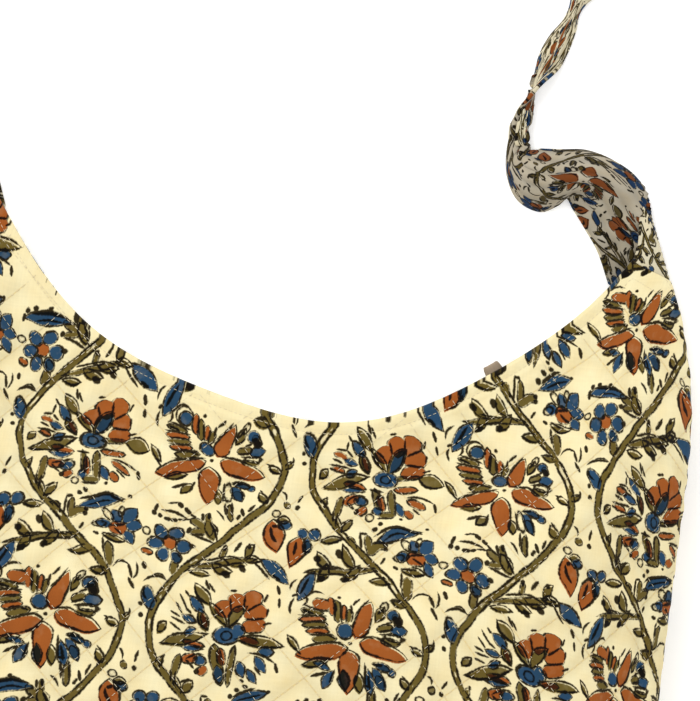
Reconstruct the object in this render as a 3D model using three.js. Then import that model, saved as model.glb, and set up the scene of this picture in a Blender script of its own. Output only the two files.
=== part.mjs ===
// A quilted cotton tote bag lying on its back, with a scooped mouth and one soft shoulder strap.
// Millimetres. +X runs across the bag, +Y from the bottom seam to the mouth, +Z up out of the front.
// The origin is on the surface that the bag lies on, under the middle of the back panel.
import * as THREE from "three";

// Outline of the body, seen from above
const HALF_WIDTH = 203;
const BOTTOM_Y = -190;
const MOUTH_LOW_Y = 110;
const MOUTH_RISE = 100; // from the mouth's lowest point up to the front horns' inner corners
const MOUTH_HALF_SPAN = 163.6; // from the middle of the mouth to a front horn's inner corner
const MOUTH_SQUARE_SHARE = 0.84; // share of the rise that grows as a square, the rest as a sixth power
const MOUTH_SWAY = 2.6; // how far the edge sags right of the middle, and rises left of it
const BACK_HORN_X = 155; // the back horns are a little wider than the front ones
const HORN_OUTER = { x: 183.5, y: 203 }; // where a horn's top meets the side seam
const SHOULDER_POWER = 2.2; // how suddenly the sides turn in above the mouth's lowest point
const CORNER_POWER = 2.6; // 2 makes the bottom corners round, more makes them squarer

// Fullness of the body
const BELLY_Z = 74;
const BELLY_REACH = 120; // how far below the mouth the belly is full
const DOME_DROP = 12; // how much lower the crown is at the side seams than in the middle
const SEAM_Z = 30;
const EDGE_ROUND = 70; // width over which the panels turn down or up to the seam
const MOUTH_Z = 36;
const HORN_TOP_Z = 18;
const HORN_SEAM_Z = 9;
const HORN_ROUND = 20;
const HORN_START_Y = 90; // above this the body thins towards the horns

// Soft folds pressed into the front, each a valley round a line
const FRONT_FOLDS = [
  { x: 183, y: 45, along: 88, length: 55, width: 9, depth: 4 },
  { x: 120, y: 120, along: 62, length: 48, width: 24, depth: 5 },
  { x: -128, y: 112, along: 120, length: 50, width: 26, depth: 5 },
  { x: -20, y: -60, along: 12, length: 90, width: 30, depth: 4 },
];

// Cloth
const PANEL_WALL = 3;
const STRAP_WALL = 2;
const TAB_WALL = 1.5;
const GAP = 0.3;
const STRAP_WIDTH = 40;

// The tab behind the front of the mouth
const TAB = { x: 102, halfWidth: 4.5, inside: 18, outside: 5, taper: 0.25 };

// Fineness of the faceted surfaces
const MOUTH_COLUMNS = 24;
const HORN_COLUMN_STOPS = [0.5, 0.8, 1];
const PANEL_ROWS = 24;
const ROW_CROWDING = 0.6; // 0 spaces the rows evenly, 1 crowds them towards the bottom seam
const STRAP_COLUMNS = 8;
const STRAP_STEPS_PER_ROW = 3;
const TAB_COLUMNS = 4;
const TAB_ROWS = 6;

// The strap where the photo shows it, from the right horn on, as points of its outer face.
// left is the edge towards the inside of the loop. fold is the outside of the lengthwise fold,
// lap the edge that is folded over the top, and arch how far the middle stands up.
const STRAP_ROWS = [
  { left: [154, 197, 0], fold: [183.5, 203, 9], lap: [163.6, 210, 18], arch: 0 },
  { left: [146, 214, 0], fold: [176.5, 220, 5], lap: [165.5, 219, 12], arch: 0 },
  { left: [138, 225, 0], fold: [171, 233, 3], lap: [165, 233, 7], arch: 1 },
  { left: [131, 234, 0], fold: [167, 243, 1], lap: [165, 243, 2], arch: 4 },
  { left: [126.5, 240, 2], fold: [159, 252, 0], arch: 8 },
  { left: [124.5, 239, 3], fold: [146, 259, 0], arch: 10 },
  { left: [121, 235, 2], fold: [133, 262, 0], arch: 11 },
  { left: [114, 231.5, 0], fold: [122, 261, 0], arch: 12 },
  { left: [103, 235.5, 0], fold: [111.5, 260, 1], arch: 11 },
  { left: [96.5, 247, 0], fold: [104, 259.5, 2], arch: 6 },
  { left: [95, 261.5, 0], fold: [103, 265, 3], lap: [98.5, 263, 7], arch: 0 },
  { left: [95.5, 276, 0], fold: [103, 277, 3], lap: [98, 276, 6], arch: 0 },
  { left: [103, 291, 11], fold: [102, 291, 1], arch: 0 },
  { left: [116, 307.5, 2], fold: [103, 306, 2], arch: 2 },
  { left: [120, 321.5, 2], fold: [107.5, 318.5, 2], arch: 3 },
  { left: [122, 333.5, 2], fold: [115, 331.5, 2], arch: 2 },
];

// The rest of the loop, which lies flat the plain way round to the left horn.
// roll 0 is inner face up, 180 outer face up, and width is what the bunched strip covers.
const STRAP_REST = [
  { x: 127, y: 358, heading: 72, roll: 180, width: 26 },
  { x: 131, y: 392, heading: 100, roll: 180, width: 36 },
  { x: 112, y: 423, heading: 145, roll: 180, width: STRAP_WIDTH },
  { x: 66, y: 441, heading: 166, roll: 180, width: STRAP_WIDTH },
  { x: 8, y: 446, heading: 180, roll: 180, width: STRAP_WIDTH },
  { x: -50, y: 440, heading: 193, roll: 180, width: 34 },
  { x: -98, y: 420, heading: 212, roll: 90, width: 16 },
  { x: -138, y: 388, heading: 226, roll: 0, width: 34 },
  { x: -174, y: 343, heading: 243, roll: 0, width: 36 },
  { x: -192, y: 290, heading: 256, roll: 0, width: 34 },
];

// Where the strap comes to the left horn
const STRAP_END = [
  { left: [-171, 248, 0], fold: [-205, 244, 1], lap: [-201, 245, 3], arch: 0 },
  { left: [-163, 222, 0], fold: [-194, 222, 5], lap: [-178, 224, 12], arch: 0 },
  { left: [-154, 197, 0], fold: [-183.5, 203, 9], lap: [-163.6, 210, 18], arch: 0 },
];

const mix = THREE.MathUtils.lerp;
const clamp = THREE.MathUtils.clamp;

function smooth(t) {
  return THREE.MathUtils.smoothstep(t, 0, 1);
}

// 0 in the body and 1 at the height of the horns' tops
function hornward(y) {
  return smooth((y - HORN_START_Y) / (HORN_OUTER.y - HORN_START_Y));
}

function halfWidth(y) {
  const shoulder = Math.max(0, (y - MOUTH_LOW_Y) / (HORN_OUTER.y - MOUTH_LOW_Y));
  return HALF_WIDTH - (HALF_WIDTH - HORN_OUTER.x) * shoulder ** SHOULDER_POWER;
}

function mouthY(x) {
  const out = x / MOUTH_HALF_SPAN;
  const rise = MOUTH_SQUARE_SHARE * out ** 2 + (1 - MOUTH_SQUARE_SHARE) * out ** 6;
  const sway = clamp(x / BACK_HORN_X, -1, 1);
  return MOUTH_LOW_Y + MOUTH_RISE * rise - MOUTH_SWAY * Math.sin(2 * Math.PI * sway) * (1 - sway ** 8);
}

// A panel's upper edge: the mouth between the horns, and a straight cut across each horn
function upperY(x, hornX) {
  const out = Math.abs(x);
  if (out <= hornX) {
    return mouthY(x);
  }
  const corner = mouthY(Math.sign(x) * hornX);
  return mix(corner, HORN_OUTER.y, (out - hornX) / (HORN_OUTER.x - hornX));
}

// The bottom edge, straight with rounded corners
function lowerY(x) {
  const out = Math.max(0, 1 - (HALF_WIDTH - Math.abs(x)) / EDGE_ROUND);
  return BOTTOM_Y + EDGE_ROUND * (1 - (1 - out ** CORNER_POWER) ** (1 / CORNER_POWER));
}

// 0 on the side and bottom seams, rising along a quarter ellipse to 1 inside the rounded edge
function roundness(x, y) {
  const sideRound = mix(EDGE_ROUND, HORN_ROUND, hornward(y));
  const side = Math.max(0, 1 - (halfWidth(y) - Math.abs(x)) / sideRound);
  const foot = Math.max(0, 1 - (y - BOTTOM_Y) / EDGE_ROUND);
  const out = (side ** CORNER_POWER + foot ** CORNER_POWER) ** (1 / CORNER_POWER);
  return Math.sqrt(1 - Math.min(1, out) ** 2);
}

function seamZ(y) {
  return mix(SEAM_Z, HORN_SEAM_Z, hornward(y));
}

function foldDepth(x, y) {
  return FRONT_FOLDS.reduce((sum, fold) => {
    const angle = THREE.MathUtils.degToRad(fold.along);
    const along = (x - fold.x) * Math.cos(angle) + (y - fold.y) * Math.sin(angle);
    const across = (y - fold.y) * Math.cos(angle) - (x - fold.x) * Math.sin(angle);
    return sum + fold.depth * Math.exp(-((along / fold.length) ** 2) - (across / fold.width) ** 2);
  }, 0);
}

// The front rises from the seam to a full belly and comes down again towards the mouth
function frontZ(x, y) {
  const mouthZ = mix(MOUTH_Z, HORN_TOP_Z, smooth(Math.abs(x) / MOUTH_HALF_SPAN));
  const bellyZ = BELLY_Z - DOME_DROP * (x / HALF_WIDTH) ** 2;
  const below = upperY(x, MOUTH_HALF_SPAN) - y;
  const full = smooth(below / BELLY_REACH);
  const crown = mix(mouthZ, bellyZ, full) - foldDepth(x, y) * full;
  const seam = seamZ(y) + GAP / 2;
  return seam + (crown - seam) * roundness(x, y);
}

// The back lies flat and turns up to the seam at its sides and bottom
function backZ(x, y) {
  return (seamZ(y) - GAP / 2) * (1 - roundness(x, y));
}

// The top of column u, where the upper edge and the side's share of the width agree
function columnTopY(u, hornX) {
  let x = u * HORN_OUTER.x;
  for (let pass = 0; pass < 30; pass += 1) {
    x = u * halfWidth(upperY(x, hornX));
  }
  return upperY(x, hornX);
}

function panelPoint(u, v, hornX, heightAt) {
  const y = mix(lowerY(u * HALF_WIDTH), columnTopY(u, hornX), v);
  const x = u * halfWidth(y);
  return new THREE.Vector3(x, y, heightAt(x, y));
}

// Columns from seam to seam, with one on each horn's inner corner
function panelColumns(hornX) {
  const corner = hornX / halfWidth(mouthY(hornX));
  const horn = HORN_COLUMN_STOPS.map((stop) => mix(corner, 1, stop));
  const shareAt = (_, i) => corner * ((2 * i) / MOUTH_COLUMNS - 1);
  const mouth = Array.from({ length: MOUTH_COLUMNS + 1 }, shareAt);
  return [...horn.map((u) => -u).reverse(), ...mouth, ...horn];
}

function evenSteps(count, from, to) {
  return Array.from({ length: count + 1 }, (_, i) => mix(from, to, i / count));
}

function panelRows() {
  return evenSteps(PANEL_ROWS, 0, 1).map((t) => mix(t, 1 - Math.cos((t * Math.PI) / 2), ROW_CROWDING));
}

// The way a surface faces, from its slopes a short step to either side
function facing(pointAt, u, v) {
  const step = 0.001;
  const across = pointAt(Math.min(u + step, 1), v).sub(pointAt(Math.max(u - step, -1), v));
  const along = pointAt(u, Math.min(v + step, 1)).sub(pointAt(u, Math.max(v - step, 0)));
  return across.cross(along).normalize();
}

// A closed wall: an outer grid, an inner grid one wall further in, and a rim round both
function wallGeometry(pointAt, facingAt, columns, rows, wall) {
  const positions = [];
  columns.forEach((u) => {
    rows.forEach((v) => {
      const outer = pointAt(u, v);
      const inner = outer.clone().addScaledVector(facingAt(u, v), -wall);
      positions.push(...outer.toArray(), ...inner.toArray());
    });
  });
  const triangles = [];
  const quad = (a, b, c, d) => triangles.push(a, b, c, a, c, d);
  const outerAt = (i, j) => 2 * (i * rows.length + j);
  const innerAt = (i, j) => outerAt(i, j) + 1;
  const lastColumn = columns.length - 1;
  const lastRow = rows.length - 1;
  for (let i = 0; i < lastColumn; i += 1) {
    for (let j = 0; j < lastRow; j += 1) {
      quad(outerAt(i, j), outerAt(i + 1, j), outerAt(i + 1, j + 1), outerAt(i, j + 1));
      quad(innerAt(i, j), innerAt(i, j + 1), innerAt(i + 1, j + 1), innerAt(i + 1, j));
    }
    quad(outerAt(i, 0), innerAt(i, 0), innerAt(i + 1, 0), outerAt(i + 1, 0));
    quad(outerAt(i + 1, lastRow), innerAt(i + 1, lastRow), innerAt(i, lastRow), outerAt(i, lastRow));
  }
  for (let j = 0; j < lastRow; j += 1) {
    quad(outerAt(0, j + 1), innerAt(0, j + 1), innerAt(0, j), outerAt(0, j));
    quad(
      outerAt(lastColumn, j),
      innerAt(lastColumn, j),
      innerAt(lastColumn, j + 1),
      outerAt(lastColumn, j + 1),
    );
  }
  const geometry = new THREE.BufferGeometry();
  geometry.setAttribute("position", new THREE.Float32BufferAttribute(positions, 3));
  geometry.setIndex(triangles);
  geometry.computeVertexNormals();
  return geometry;
}

// A panel's wall. On the seams it is turned level, so that front and back meet rim to rim.
// side is 1 for the front and -1 for the back, which is laid out from right to left to face down.
function panelGeometry(hornX, heightAt, side) {
  const step = 0.001;
  const nearSeam = { u: 0.985, v: 0.015 };
  const pointAt = (u, v) => panelPoint(side * u, v, hornX, heightAt);
  const seamFacing = (u, v) => {
    const onSide = Math.abs(u) === 1;
    const from = onSide ? pointAt(u, Math.max(v - step, 0)) : pointAt(u - step, v);
    const along = (onSide ? pointAt(u, Math.min(v + step, 1)) : pointAt(u + step, v)).sub(from);
    return new THREE.Vector3(along.y, -along.x, 0).multiplyScalar(onSide ? side * u : side).normalize();
  };
  const facingAt = (u, v) => {
    if (Math.abs(u) === 1 || v === 0) {
      return seamFacing(u, v);
    }
    return facing(pointAt, clamp(u, -nearSeam.u, nearSeam.u), Math.max(v, nearSeam.v));
  };
  return wallGeometry(pointAt, facingAt, panelColumns(hornX), panelRows(), PANEL_WALL);
}

// A row of the loose strap, from its middle, heading, roll and width, resting on the surface
function restRow({ x, y, heading, roll, width }) {
  const turn = THREE.MathUtils.degToRad(heading + 90);
  const tilt = THREE.MathUtils.degToRad(roll);
  const reach = (Math.cos(tilt) * width) / 2;
  const lift = (Math.sin(tilt) * width) / 2;
  const middleZ = Math.abs(lift) + (STRAP_WALL * (1 - Math.cos(tilt))) / 2;
  return {
    left: [x + reach * Math.cos(turn), y + reach * Math.sin(turn), middleZ + lift],
    fold: [x - reach * Math.cos(turn), y - reach * Math.sin(turn), middleZ - lift],
    arch: 0,
  };
}

// Moves the first and last rows clear of the horns that they are sewn to
function clearOfHorn(row) {
  const moved = ([x, y, z]) => [x, y + GAP, z];
  return { left: moved(row.left), fold: moved(row.fold), lap: moved(row.lap), arch: row.arch };
}

function strapRows() {
  const rows = [...STRAP_ROWS, ...STRAP_REST.map(restRow), ...STRAP_END];
  rows[0] = clearOfHorn(rows[0]);
  rows[rows.length - 1] = clearOfHorn(rows[rows.length - 1]);
  return rows;
}

function curveThrough(points) {
  const places = points.map((point) => new THREE.Vector3(...point));
  return new THREE.CatmullRomCurve3(places, false, "centripetal");
}

// Share of the way up the fold, t of the way to it: straight, or rounded as the horn is
function foldRamp(t, flatWidth, lapWidth) {
  const roundShare = Math.min(1, HORN_ROUND / Math.max(flatWidth, GAP));
  const q = clamp((t - (1 - roundShare)) / roundShare, 0, 1);
  return mix(t, 1 - Math.sqrt(1 - q * q), Math.min(1, lapWidth / HORN_ROUND));
}

// The strap's outer face: across it from the lap's edge round the fold to the left edge
function strapSurface(rows) {
  const leftEdge = curveThrough(rows.map((row) => row.left));
  const foldLine = curveThrough(rows.map((row) => row.fold));
  const lapEdge = curveThrough(rows.map((row) => row.lap ?? row.fold));
  const archLine = curveThrough(rows.map((row, i) => [i, row.arch, 0]));
  return (u, v) => {
    const left = leftEdge.getPoint(v);
    const fold = foldLine.getPoint(v);
    const lap = lapEdge.getPoint(v);
    const flatWidth = left.distanceTo(fold);
    const lapWidth = lap.distanceTo(fold);
    const from = ((1 + u) / 2) * (flatWidth + lapWidth);
    const onLap = from < lapWidth;
    const edge = onLap ? lap : left;
    const t = onLap ? from / lapWidth : (flatWidth + lapWidth - from) / flatWidth;
    const point = edge.clone().lerp(fold, t);
    point.z = mix(edge.z, fold.z, foldRamp(t, onLap ? lapWidth : flatWidth, lapWidth));
    if (!onLap) {
      point.z += archLine.getPoint(v).y * Math.sin(Math.PI * t);
    }
    return point;
  };
}

function strapGeometry() {
  const rows = strapRows();
  const pointAt = strapSurface(rows);
  const facingAt = (u, v) => {
    const normal = facing(pointAt, u, v);
    if (v === 0 || v === 1) {
      normal.setY(0).normalize();
    }
    return normal;
  };
  const steps = evenSteps((rows.length - 1) * STRAP_STEPS_PER_ROW, 0, 1);
  return wallGeometry(pointAt, facingAt, evenSteps(STRAP_COLUMNS, -1, 1), steps, STRAP_WALL);
}

// A small strip against the inside of the front, standing out past the mouth
function tabGeometry() {
  const root = new THREE.Vector2(TAB.x, mouthY(TAB.x));
  const slope = Math.atan2(mouthY(TAB.x + 1) - mouthY(TAB.x - 1), 2);
  const pointAt = (u, v) => {
    const sideways = u * TAB.halfWidth * (1 - TAB.taper * v ** 4);
    const outward = mix(-TAB.inside, TAB.outside, v);
    const place = new THREE.Vector2(sideways, outward).rotateAround(new THREE.Vector2(), slope).add(root);
    const underY = Math.min(place.y, mouthY(place.x));
    return new THREE.Vector3(place.x, place.y, frontZ(place.x, underY) - PANEL_WALL - 2 * GAP);
  };
  const facingAt = (u, v) => facing(pointAt, u, v);
  const columns = evenSteps(TAB_COLUMNS, -1, 1);
  return wallGeometry(pointAt, facingAt, columns, evenSteps(TAB_ROWS, 0, 1), TAB_WALL);
}

function clothMesh(name, geometry, color, roughness) {
  const material = new THREE.MeshStandardMaterial({ color, roughness, metalness: 0 });
  const mesh = new THREE.Mesh(geometry, material);
  mesh.name = name;
  return mesh;
}

const bag = new THREE.Group();
bag.add(clothMesh("front_panel", panelGeometry(MOUTH_HALF_SPAN, frontZ, 1), 0xefe0b4, 0.9));
bag.add(clothMesh("back_panel", panelGeometry(BACK_HORN_X, backZ, -1), 0xe9d9ac, 0.9));
bag.add(clothMesh("strap", strapGeometry(), 0xd9d0b8, 0.9));
bag.add(clothMesh("mouth_tab", tabGeometry(), 0xa8967c, 0.92));

export default bag;
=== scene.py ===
# %% [markdown]
# A quilted cotton tote bag, lying on its back with its strap thrown loosely above the mouth.
# Two quilted panels make the bag, a soft strip of the same cloth makes the strap, and a small plain
# tab shows behind the mouth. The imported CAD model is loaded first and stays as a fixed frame: every
# cloth piece below is worked out again, finer, in the same place.

# %% Load the frame
import math

import bpy
import numpy as np
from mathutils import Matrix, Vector


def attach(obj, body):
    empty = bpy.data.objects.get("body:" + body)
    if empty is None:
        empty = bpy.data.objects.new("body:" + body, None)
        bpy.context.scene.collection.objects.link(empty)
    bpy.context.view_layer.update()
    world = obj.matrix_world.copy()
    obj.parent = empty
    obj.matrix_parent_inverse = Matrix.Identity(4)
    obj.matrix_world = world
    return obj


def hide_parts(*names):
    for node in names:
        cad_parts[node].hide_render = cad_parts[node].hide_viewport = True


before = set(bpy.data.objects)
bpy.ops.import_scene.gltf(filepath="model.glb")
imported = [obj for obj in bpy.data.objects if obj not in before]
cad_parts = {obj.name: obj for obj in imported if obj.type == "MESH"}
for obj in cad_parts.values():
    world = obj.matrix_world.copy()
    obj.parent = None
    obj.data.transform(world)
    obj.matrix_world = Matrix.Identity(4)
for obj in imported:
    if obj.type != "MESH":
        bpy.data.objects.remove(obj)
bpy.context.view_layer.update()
MM = 0.001
scene = bpy.context.scene

# %% [markdown]
# The photo looks straight down on the bag from far off, and the bag lies turned a few degrees in it.
# A long lens a few metres up gives that flat view. The camera turns instead of the bag, because the
# bag has to stay in the CAD frame.

# %% Camera
VIEW_MIDDLE = (27.8, 148.3)  # millimetres, in the plane that the photo's scale was read in
VIEW_WIDTH = 350
VIEW_TURN = math.radians(7.3)
SCALE_PLANE_Z = 40
CAMERA_HEIGHT = 4000
SENSOR = 36
VIEW_DEPTH = 100  # metres

camera = bpy.data.objects.new("camera", bpy.data.cameras.new("camera"))
camera.data.sensor_width = SENSOR
camera.data.lens = SENSOR * CAMERA_HEIGHT / VIEW_WIDTH
camera.data.clip_end = VIEW_DEPTH
camera.location = Vector((*VIEW_MIDDLE, SCALE_PLANE_Z + CAMERA_HEIGHT)) * MM
camera.rotation_euler = (0, 0, VIEW_TURN)
scene.collection.objects.link(camera)
scene.camera = camera
print("lens", round(camera.data.lens, 1), "mm")

# %% [markdown]
# The studio is a white surface under bright, even light, so that hardly a shadow shows. Most of the
# light comes from all round, and one large soft lamp gives the cloth its gentle modelling. The floor
# gets a faint glow of its own later, as a light table has. The colours go to the picture unchanged,
# because the dyes were matched to the photo's.

# %% Floor and light
FLOOR_SIZE = 30
SKY_COLOUR = (1, 0.995, 0.98, 1)
SKY_STRENGTH = 1.0
LAMP_PLACE = (-1.5, 1.9, 2.6)
LAMP_SIZE = 2.2
LAMP_POWER = 46

far = FLOOR_SIZE / 2
floor_corners = [(-far, -far, 0), (far, -far, 0), (far, far, 0), (-far, far, 0)]
floor_mesh = bpy.data.meshes.new("floor")
floor_mesh.from_pydata(floor_corners, [], [(0, 1, 2, 3)])
floor = bpy.data.objects.new("floor", floor_mesh)
scene.collection.objects.link(floor)

world = bpy.data.worlds.new("studio")
world.use_nodes = True
sky = world.node_tree.nodes["Background"]
sky.inputs["Color"].default_value = SKY_COLOUR
sky.inputs["Strength"].default_value = SKY_STRENGTH
scene.world = world

lamp = bpy.data.objects.new("soft_lamp", bpy.data.lights.new("soft_lamp", "AREA"))
lamp.data.size = LAMP_SIZE
lamp.data.energy = LAMP_POWER
lamp.location = LAMP_PLACE
lamp.rotation_euler = Vector(LAMP_PLACE).to_track_quat("Z", "Y").to_euler()
lamp.visible_camera = False
scene.collection.objects.link(lamp)
scene.view_settings.view_transform = "Standard"
print("lamp", LAMP_POWER, "W, sky", SKY_STRENGTH)

# %% [markdown]
# Both panels have the same outline: straight sides, rounded bottom corners, and a deep scooped mouth
# that leaves a narrow horn at each side for the strap. A cloth simulation could inflate a flat bag,
# but the photo fixes the outline closely, so the shape is written as formulas, the CAD's own: a height
# over each point of the plan that turns down to the seams along quarter ellipses.

# %% Outline of the panels, in millimetres
HALF_WIDTH = 203
BOTTOM_Y = -190
MOUTH_LOW_Y = 110
MOUTH_RISE = 100
MOUTH_HALF_SPAN = 163.6
MOUTH_SQUARE_SHARE = 0.84
MOUTH_SWAY = 2.6
BACK_HORN_X = 155
HORN_X, HORN_Y = 183.5, 203
HORN_START_Y = 90
SHOULDER_POWER = 2.2
CORNER_POWER = 2.6
EDGE_ROUND = 70
HORN_ROUND = 20


def mix(a, b, t):
    """The value t of the way from a to b."""
    return a + (b - a) * t


def smooth(t):
    """0 up to t = 0, 1 from t = 1, and an even S between."""
    t = np.clip(t, 0, 1)
    return t * t * (3 - 2 * t)


def hornward(y):
    """0 in the body, rising to 1 at the height of the horns' tops."""
    return smooth((y - HORN_START_Y) / (HORN_Y - HORN_START_Y))


def half_width(y):
    """Half the width at height y: even in the body, drawn in by a power curve along the horns."""
    shoulder = np.maximum(0, (y - MOUTH_LOW_Y) / (HORN_Y - MOUTH_LOW_Y))
    return HALF_WIDTH - (HALF_WIDTH - HORN_X) * shoulder**SHOULDER_POWER


def mouth_y(x):
    """The scooped edge: a square of the distance from the middle, and a sixth power for its steep ends."""
    out = x / MOUTH_HALF_SPAN
    rise = MOUTH_SQUARE_SHARE * out**2 + (1 - MOUTH_SQUARE_SHARE) * out**6
    sway = np.clip(x / BACK_HORN_X, -1, 1)
    return MOUTH_LOW_Y + MOUTH_RISE * rise - MOUTH_SWAY * np.sin(2 * np.pi * sway) * (1 - sway**8)


def upper_y(x, horn_x):
    """The mouth between the horns, and a straight cut across each horn."""
    out = np.abs(x)
    cut = mix(mouth_y(np.sign(x) * horn_x), HORN_Y, (out - horn_x) / (HORN_X - horn_x))
    return np.where(out <= horn_x, mouth_y(x), cut)


def lower_y(x):
    """The bottom edge: straight, with corners rounded as a superellipse."""
    out = np.clip(1 - (HALF_WIDTH - np.abs(x)) / EDGE_ROUND, 0, 1)
    return BOTTOM_Y + EDGE_ROUND * (1 - (1 - out**CORNER_POWER) ** (1 / CORNER_POWER))


def roundness(x, y):
    """0 on the side and bottom seams, rising along a quarter ellipse to 1 inside the rounded edge."""
    side_round = mix(EDGE_ROUND, HORN_ROUND, hornward(y))
    side = np.maximum(0, 1 - (half_width(y) - np.abs(x)) / side_round)
    foot = np.maximum(0, 1 - (y - BOTTOM_Y) / EDGE_ROUND)
    out = (side**CORNER_POWER + foot**CORNER_POWER) ** (1 / CORNER_POWER)
    return np.sqrt(1 - np.minimum(1, out) ** 2)


print("mouth rises to", mouth_y(MOUTH_HALF_SPAN), "mm at the horns")

# %% [markdown]
# A bag with a little air in it is full in the middle and thin at its seams. The front's height is mixed
# from the heights of its seam, its mouth and its belly, and broad shallow valleys stand for the soft folds
# that the photo shows. The back is plainer: it lies flat and only turns up to meet the seam.

# %% Height of the front and of the back
BELLY_Z = 74
BELLY_REACH = 120
DOME_DROP = 12
SEAM_Z = 30
MOUTH_Z = 36
HORN_TOP_Z = 18
HORN_SEAM_Z = 9
GAP = 0.3
# Soft folds pressed into the front: middle x and y, direction in degrees, half length, half width, depth
FRONT_FOLDS = (
    (183, 45, 88, 55, 9, 4),
    (120, 120, 62, 48, 24, 5),
    (-128, 112, 120, 50, 26, 5),
    (-20, -60, 12, 90, 30, 4),
)


def seam_z(y):
    """Height of the side seam, lower along the horns."""
    return mix(SEAM_Z, HORN_SEAM_Z, hornward(y))


def fold_depth(x, y, folds):
    """Sum of the folds, each a valley that fades as a bell curve along and across its line."""
    depth = 0
    for fold_x, fold_y, direction, length, width, deepest in folds:
        cos, sin = math.cos(math.radians(direction)), math.sin(math.radians(direction))
        along = (x - fold_x) * cos + (y - fold_y) * sin
        across = (y - fold_y) * cos - (x - fold_x) * sin
        depth = depth + deepest * np.exp(-((along / length) ** 2) - (across / width) ** 2)
    return depth


def front_z(x, y):
    """The front rises from the seam to a full belly and comes down again towards the mouth."""
    edge_z = mix(MOUTH_Z, HORN_TOP_Z, smooth(np.abs(x) / MOUTH_HALF_SPAN))
    belly_z = BELLY_Z - DOME_DROP * (x / HALF_WIDTH) ** 2
    full = smooth((upper_y(x, MOUTH_HALF_SPAN) - y) / BELLY_REACH)
    crown = mix(edge_z, belly_z, full) - fold_depth(x, y, FRONT_FOLDS) * full
    seam = seam_z(y) + GAP / 2
    return seam + (crown - seam) * roundness(x, y)


def back_z(x, y):
    """The back lies flat and turns up to the seam at its sides and bottom."""
    return (seam_z(y) - GAP / 2) * (1 - roundness(x, y))


print("belly", round(float(front_z(0, 0)), 1), "mm above the floor")

# %% [markdown]
# Cloth has two faces and an edge, so each piece is a closed wall: an outer grid, an inner grid one
# thickness further in, and a rim between them. A Solidify modifier would do for an even thickness, but
# quilting is thin along its stitches and thick between them, so both grids are worked out here. Each
# point also keeps its place on the flat cloth, in millimetres, for the print to follow.

# %% Closed walls from grids
RIM_STEPS = 4


def grid_quads(columns, rows):
    """Corner numbers of the quads of a grid that is stored column by column."""
    first = (np.arange(columns - 1)[:, None] * rows + np.arange(rows - 1)[None, :]).ravel()
    return np.stack([first, first + rows, first + rows + 1, first + 1], 1)


def border(columns, rows):
    """Point numbers round a grid's border, once, counter-clockwise in the grid's own directions."""
    place = np.arange(columns * rows).reshape(columns, rows)
    return np.concatenate([place[:-1, 0], place[-1, :-1], place[:0:-1, -1], place[0, :0:-1]])


def facing(points):
    """Unit normals of a grid of points: the cross product of its two slopes."""
    normal = np.cross(np.gradient(points, axis=0), np.gradient(points, axis=1))
    return normal / np.maximum(np.linalg.norm(normal, axis=2, keepdims=True), 1e-9)


def cloth_object(name, outer, inner, cloth, bulge, seams=None):
    """A closed wall as an object, with each point's place on the flat cloth and in the quilting.

    Rim points run along half an ellipse from the outer border to the inner one: the middle of the wall,
    plus half the wall times a cosine, plus bulge times half the wall times a sine along the cloth.
    """
    columns, rows = outer.shape[:2]
    count = columns * rows
    edge = border(columns, rows)
    inward = np.zeros_like(outer)
    inward[0], inward[-1] = outer[1] - outer[0], outer[-2] - outer[-1]
    inward[:, 0] += outer[:, 1] - outer[:, 0]
    inward[:, -1] += outer[:, -2] - outer[:, -1]
    outward = -inward.reshape(count, 3)[edge]
    outward /= np.maximum(np.linalg.norm(outward, axis=1, keepdims=True), 1e-9)
    top, under = outer.reshape(count, 3)[edge], inner.reshape(count, 3)[edge]
    half = np.linalg.norm(top - under, axis=1, keepdims=True) / 2
    swell = bulge.reshape(count, 1)[edge] * half * outward
    turns = np.pi * np.arange(1, RIM_STEPS) / RIM_STEPS
    rims = [(top + under) / 2 + (top - under) / 2 * np.cos(t) + swell * np.sin(t) for t in turns]

    rim_points = 2 * count + np.arange((RIM_STEPS - 1) * len(edge)).reshape(RIM_STEPS - 1, len(edge))
    loops = [edge, *rim_points, count + edge]
    strips = [np.stack([a, b, np.roll(b, -1), np.roll(a, -1)], 1) for a, b in zip(loops, loops[1:])]
    shell = grid_quads(columns, rows)
    quads = np.concatenate([shell, shell[:, ::-1] + count, *strips])
    points = np.concatenate([outer.reshape(count, 3), inner.reshape(count, 3), *rims]) * MM

    mesh = bpy.data.meshes.new(name)
    mesh.from_pydata(points.tolist(), [], quads.tolist())
    mesh.polygons.foreach_set("use_smooth", np.ones(len(quads), dtype=bool))
    side = np.zeros(len(quads), dtype=np.int32)
    side[len(shell) : 2 * len(shell)] = 1
    mesh.polygons.foreach_set("material_index", side)
    for kept, grid in (("cloth", cloth), ("seams", seams)):
        if grid is not None:
            grid = grid.reshape(count, 3).astype(np.float32)
            grid = np.concatenate([grid, grid, *[grid[edge]] * (RIM_STEPS - 1)])
            mesh.attributes.new(kept, "FLOAT_VECTOR", "POINT").data.foreach_set("vector", grid.ravel())
    mesh.update()
    piece = bpy.data.objects.new(name, mesh)
    scene.collection.objects.link(piece)
    print(name, len(quads), "quads")
    return piece


print("rims in", RIM_STEPS, "steps")

# %% [markdown]
# The panels are quilted: two layers of cotton with a little wadding between, sewn through along lines
# that cross the cloth both ways at 45 degrees, about 25 mm apart. Between the lines the cloth puffs up.
# Bump in a material could hint at that, but real puffs catch the light from every side, so the grid is
# fine enough to carry them. Its columns and rows are spaced evenly along the cloth, not in the plan.

# %% Panel grids
CLOTH_STEP = 2.3
HEM_STEP = 0.9
HEM_REACH = 12  # finer rows over this much of the cloth below the mouth
SECTION_Y = -20
CURVE_SAMPLES = 4000
PLAN_ROUNDS = 30


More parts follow.
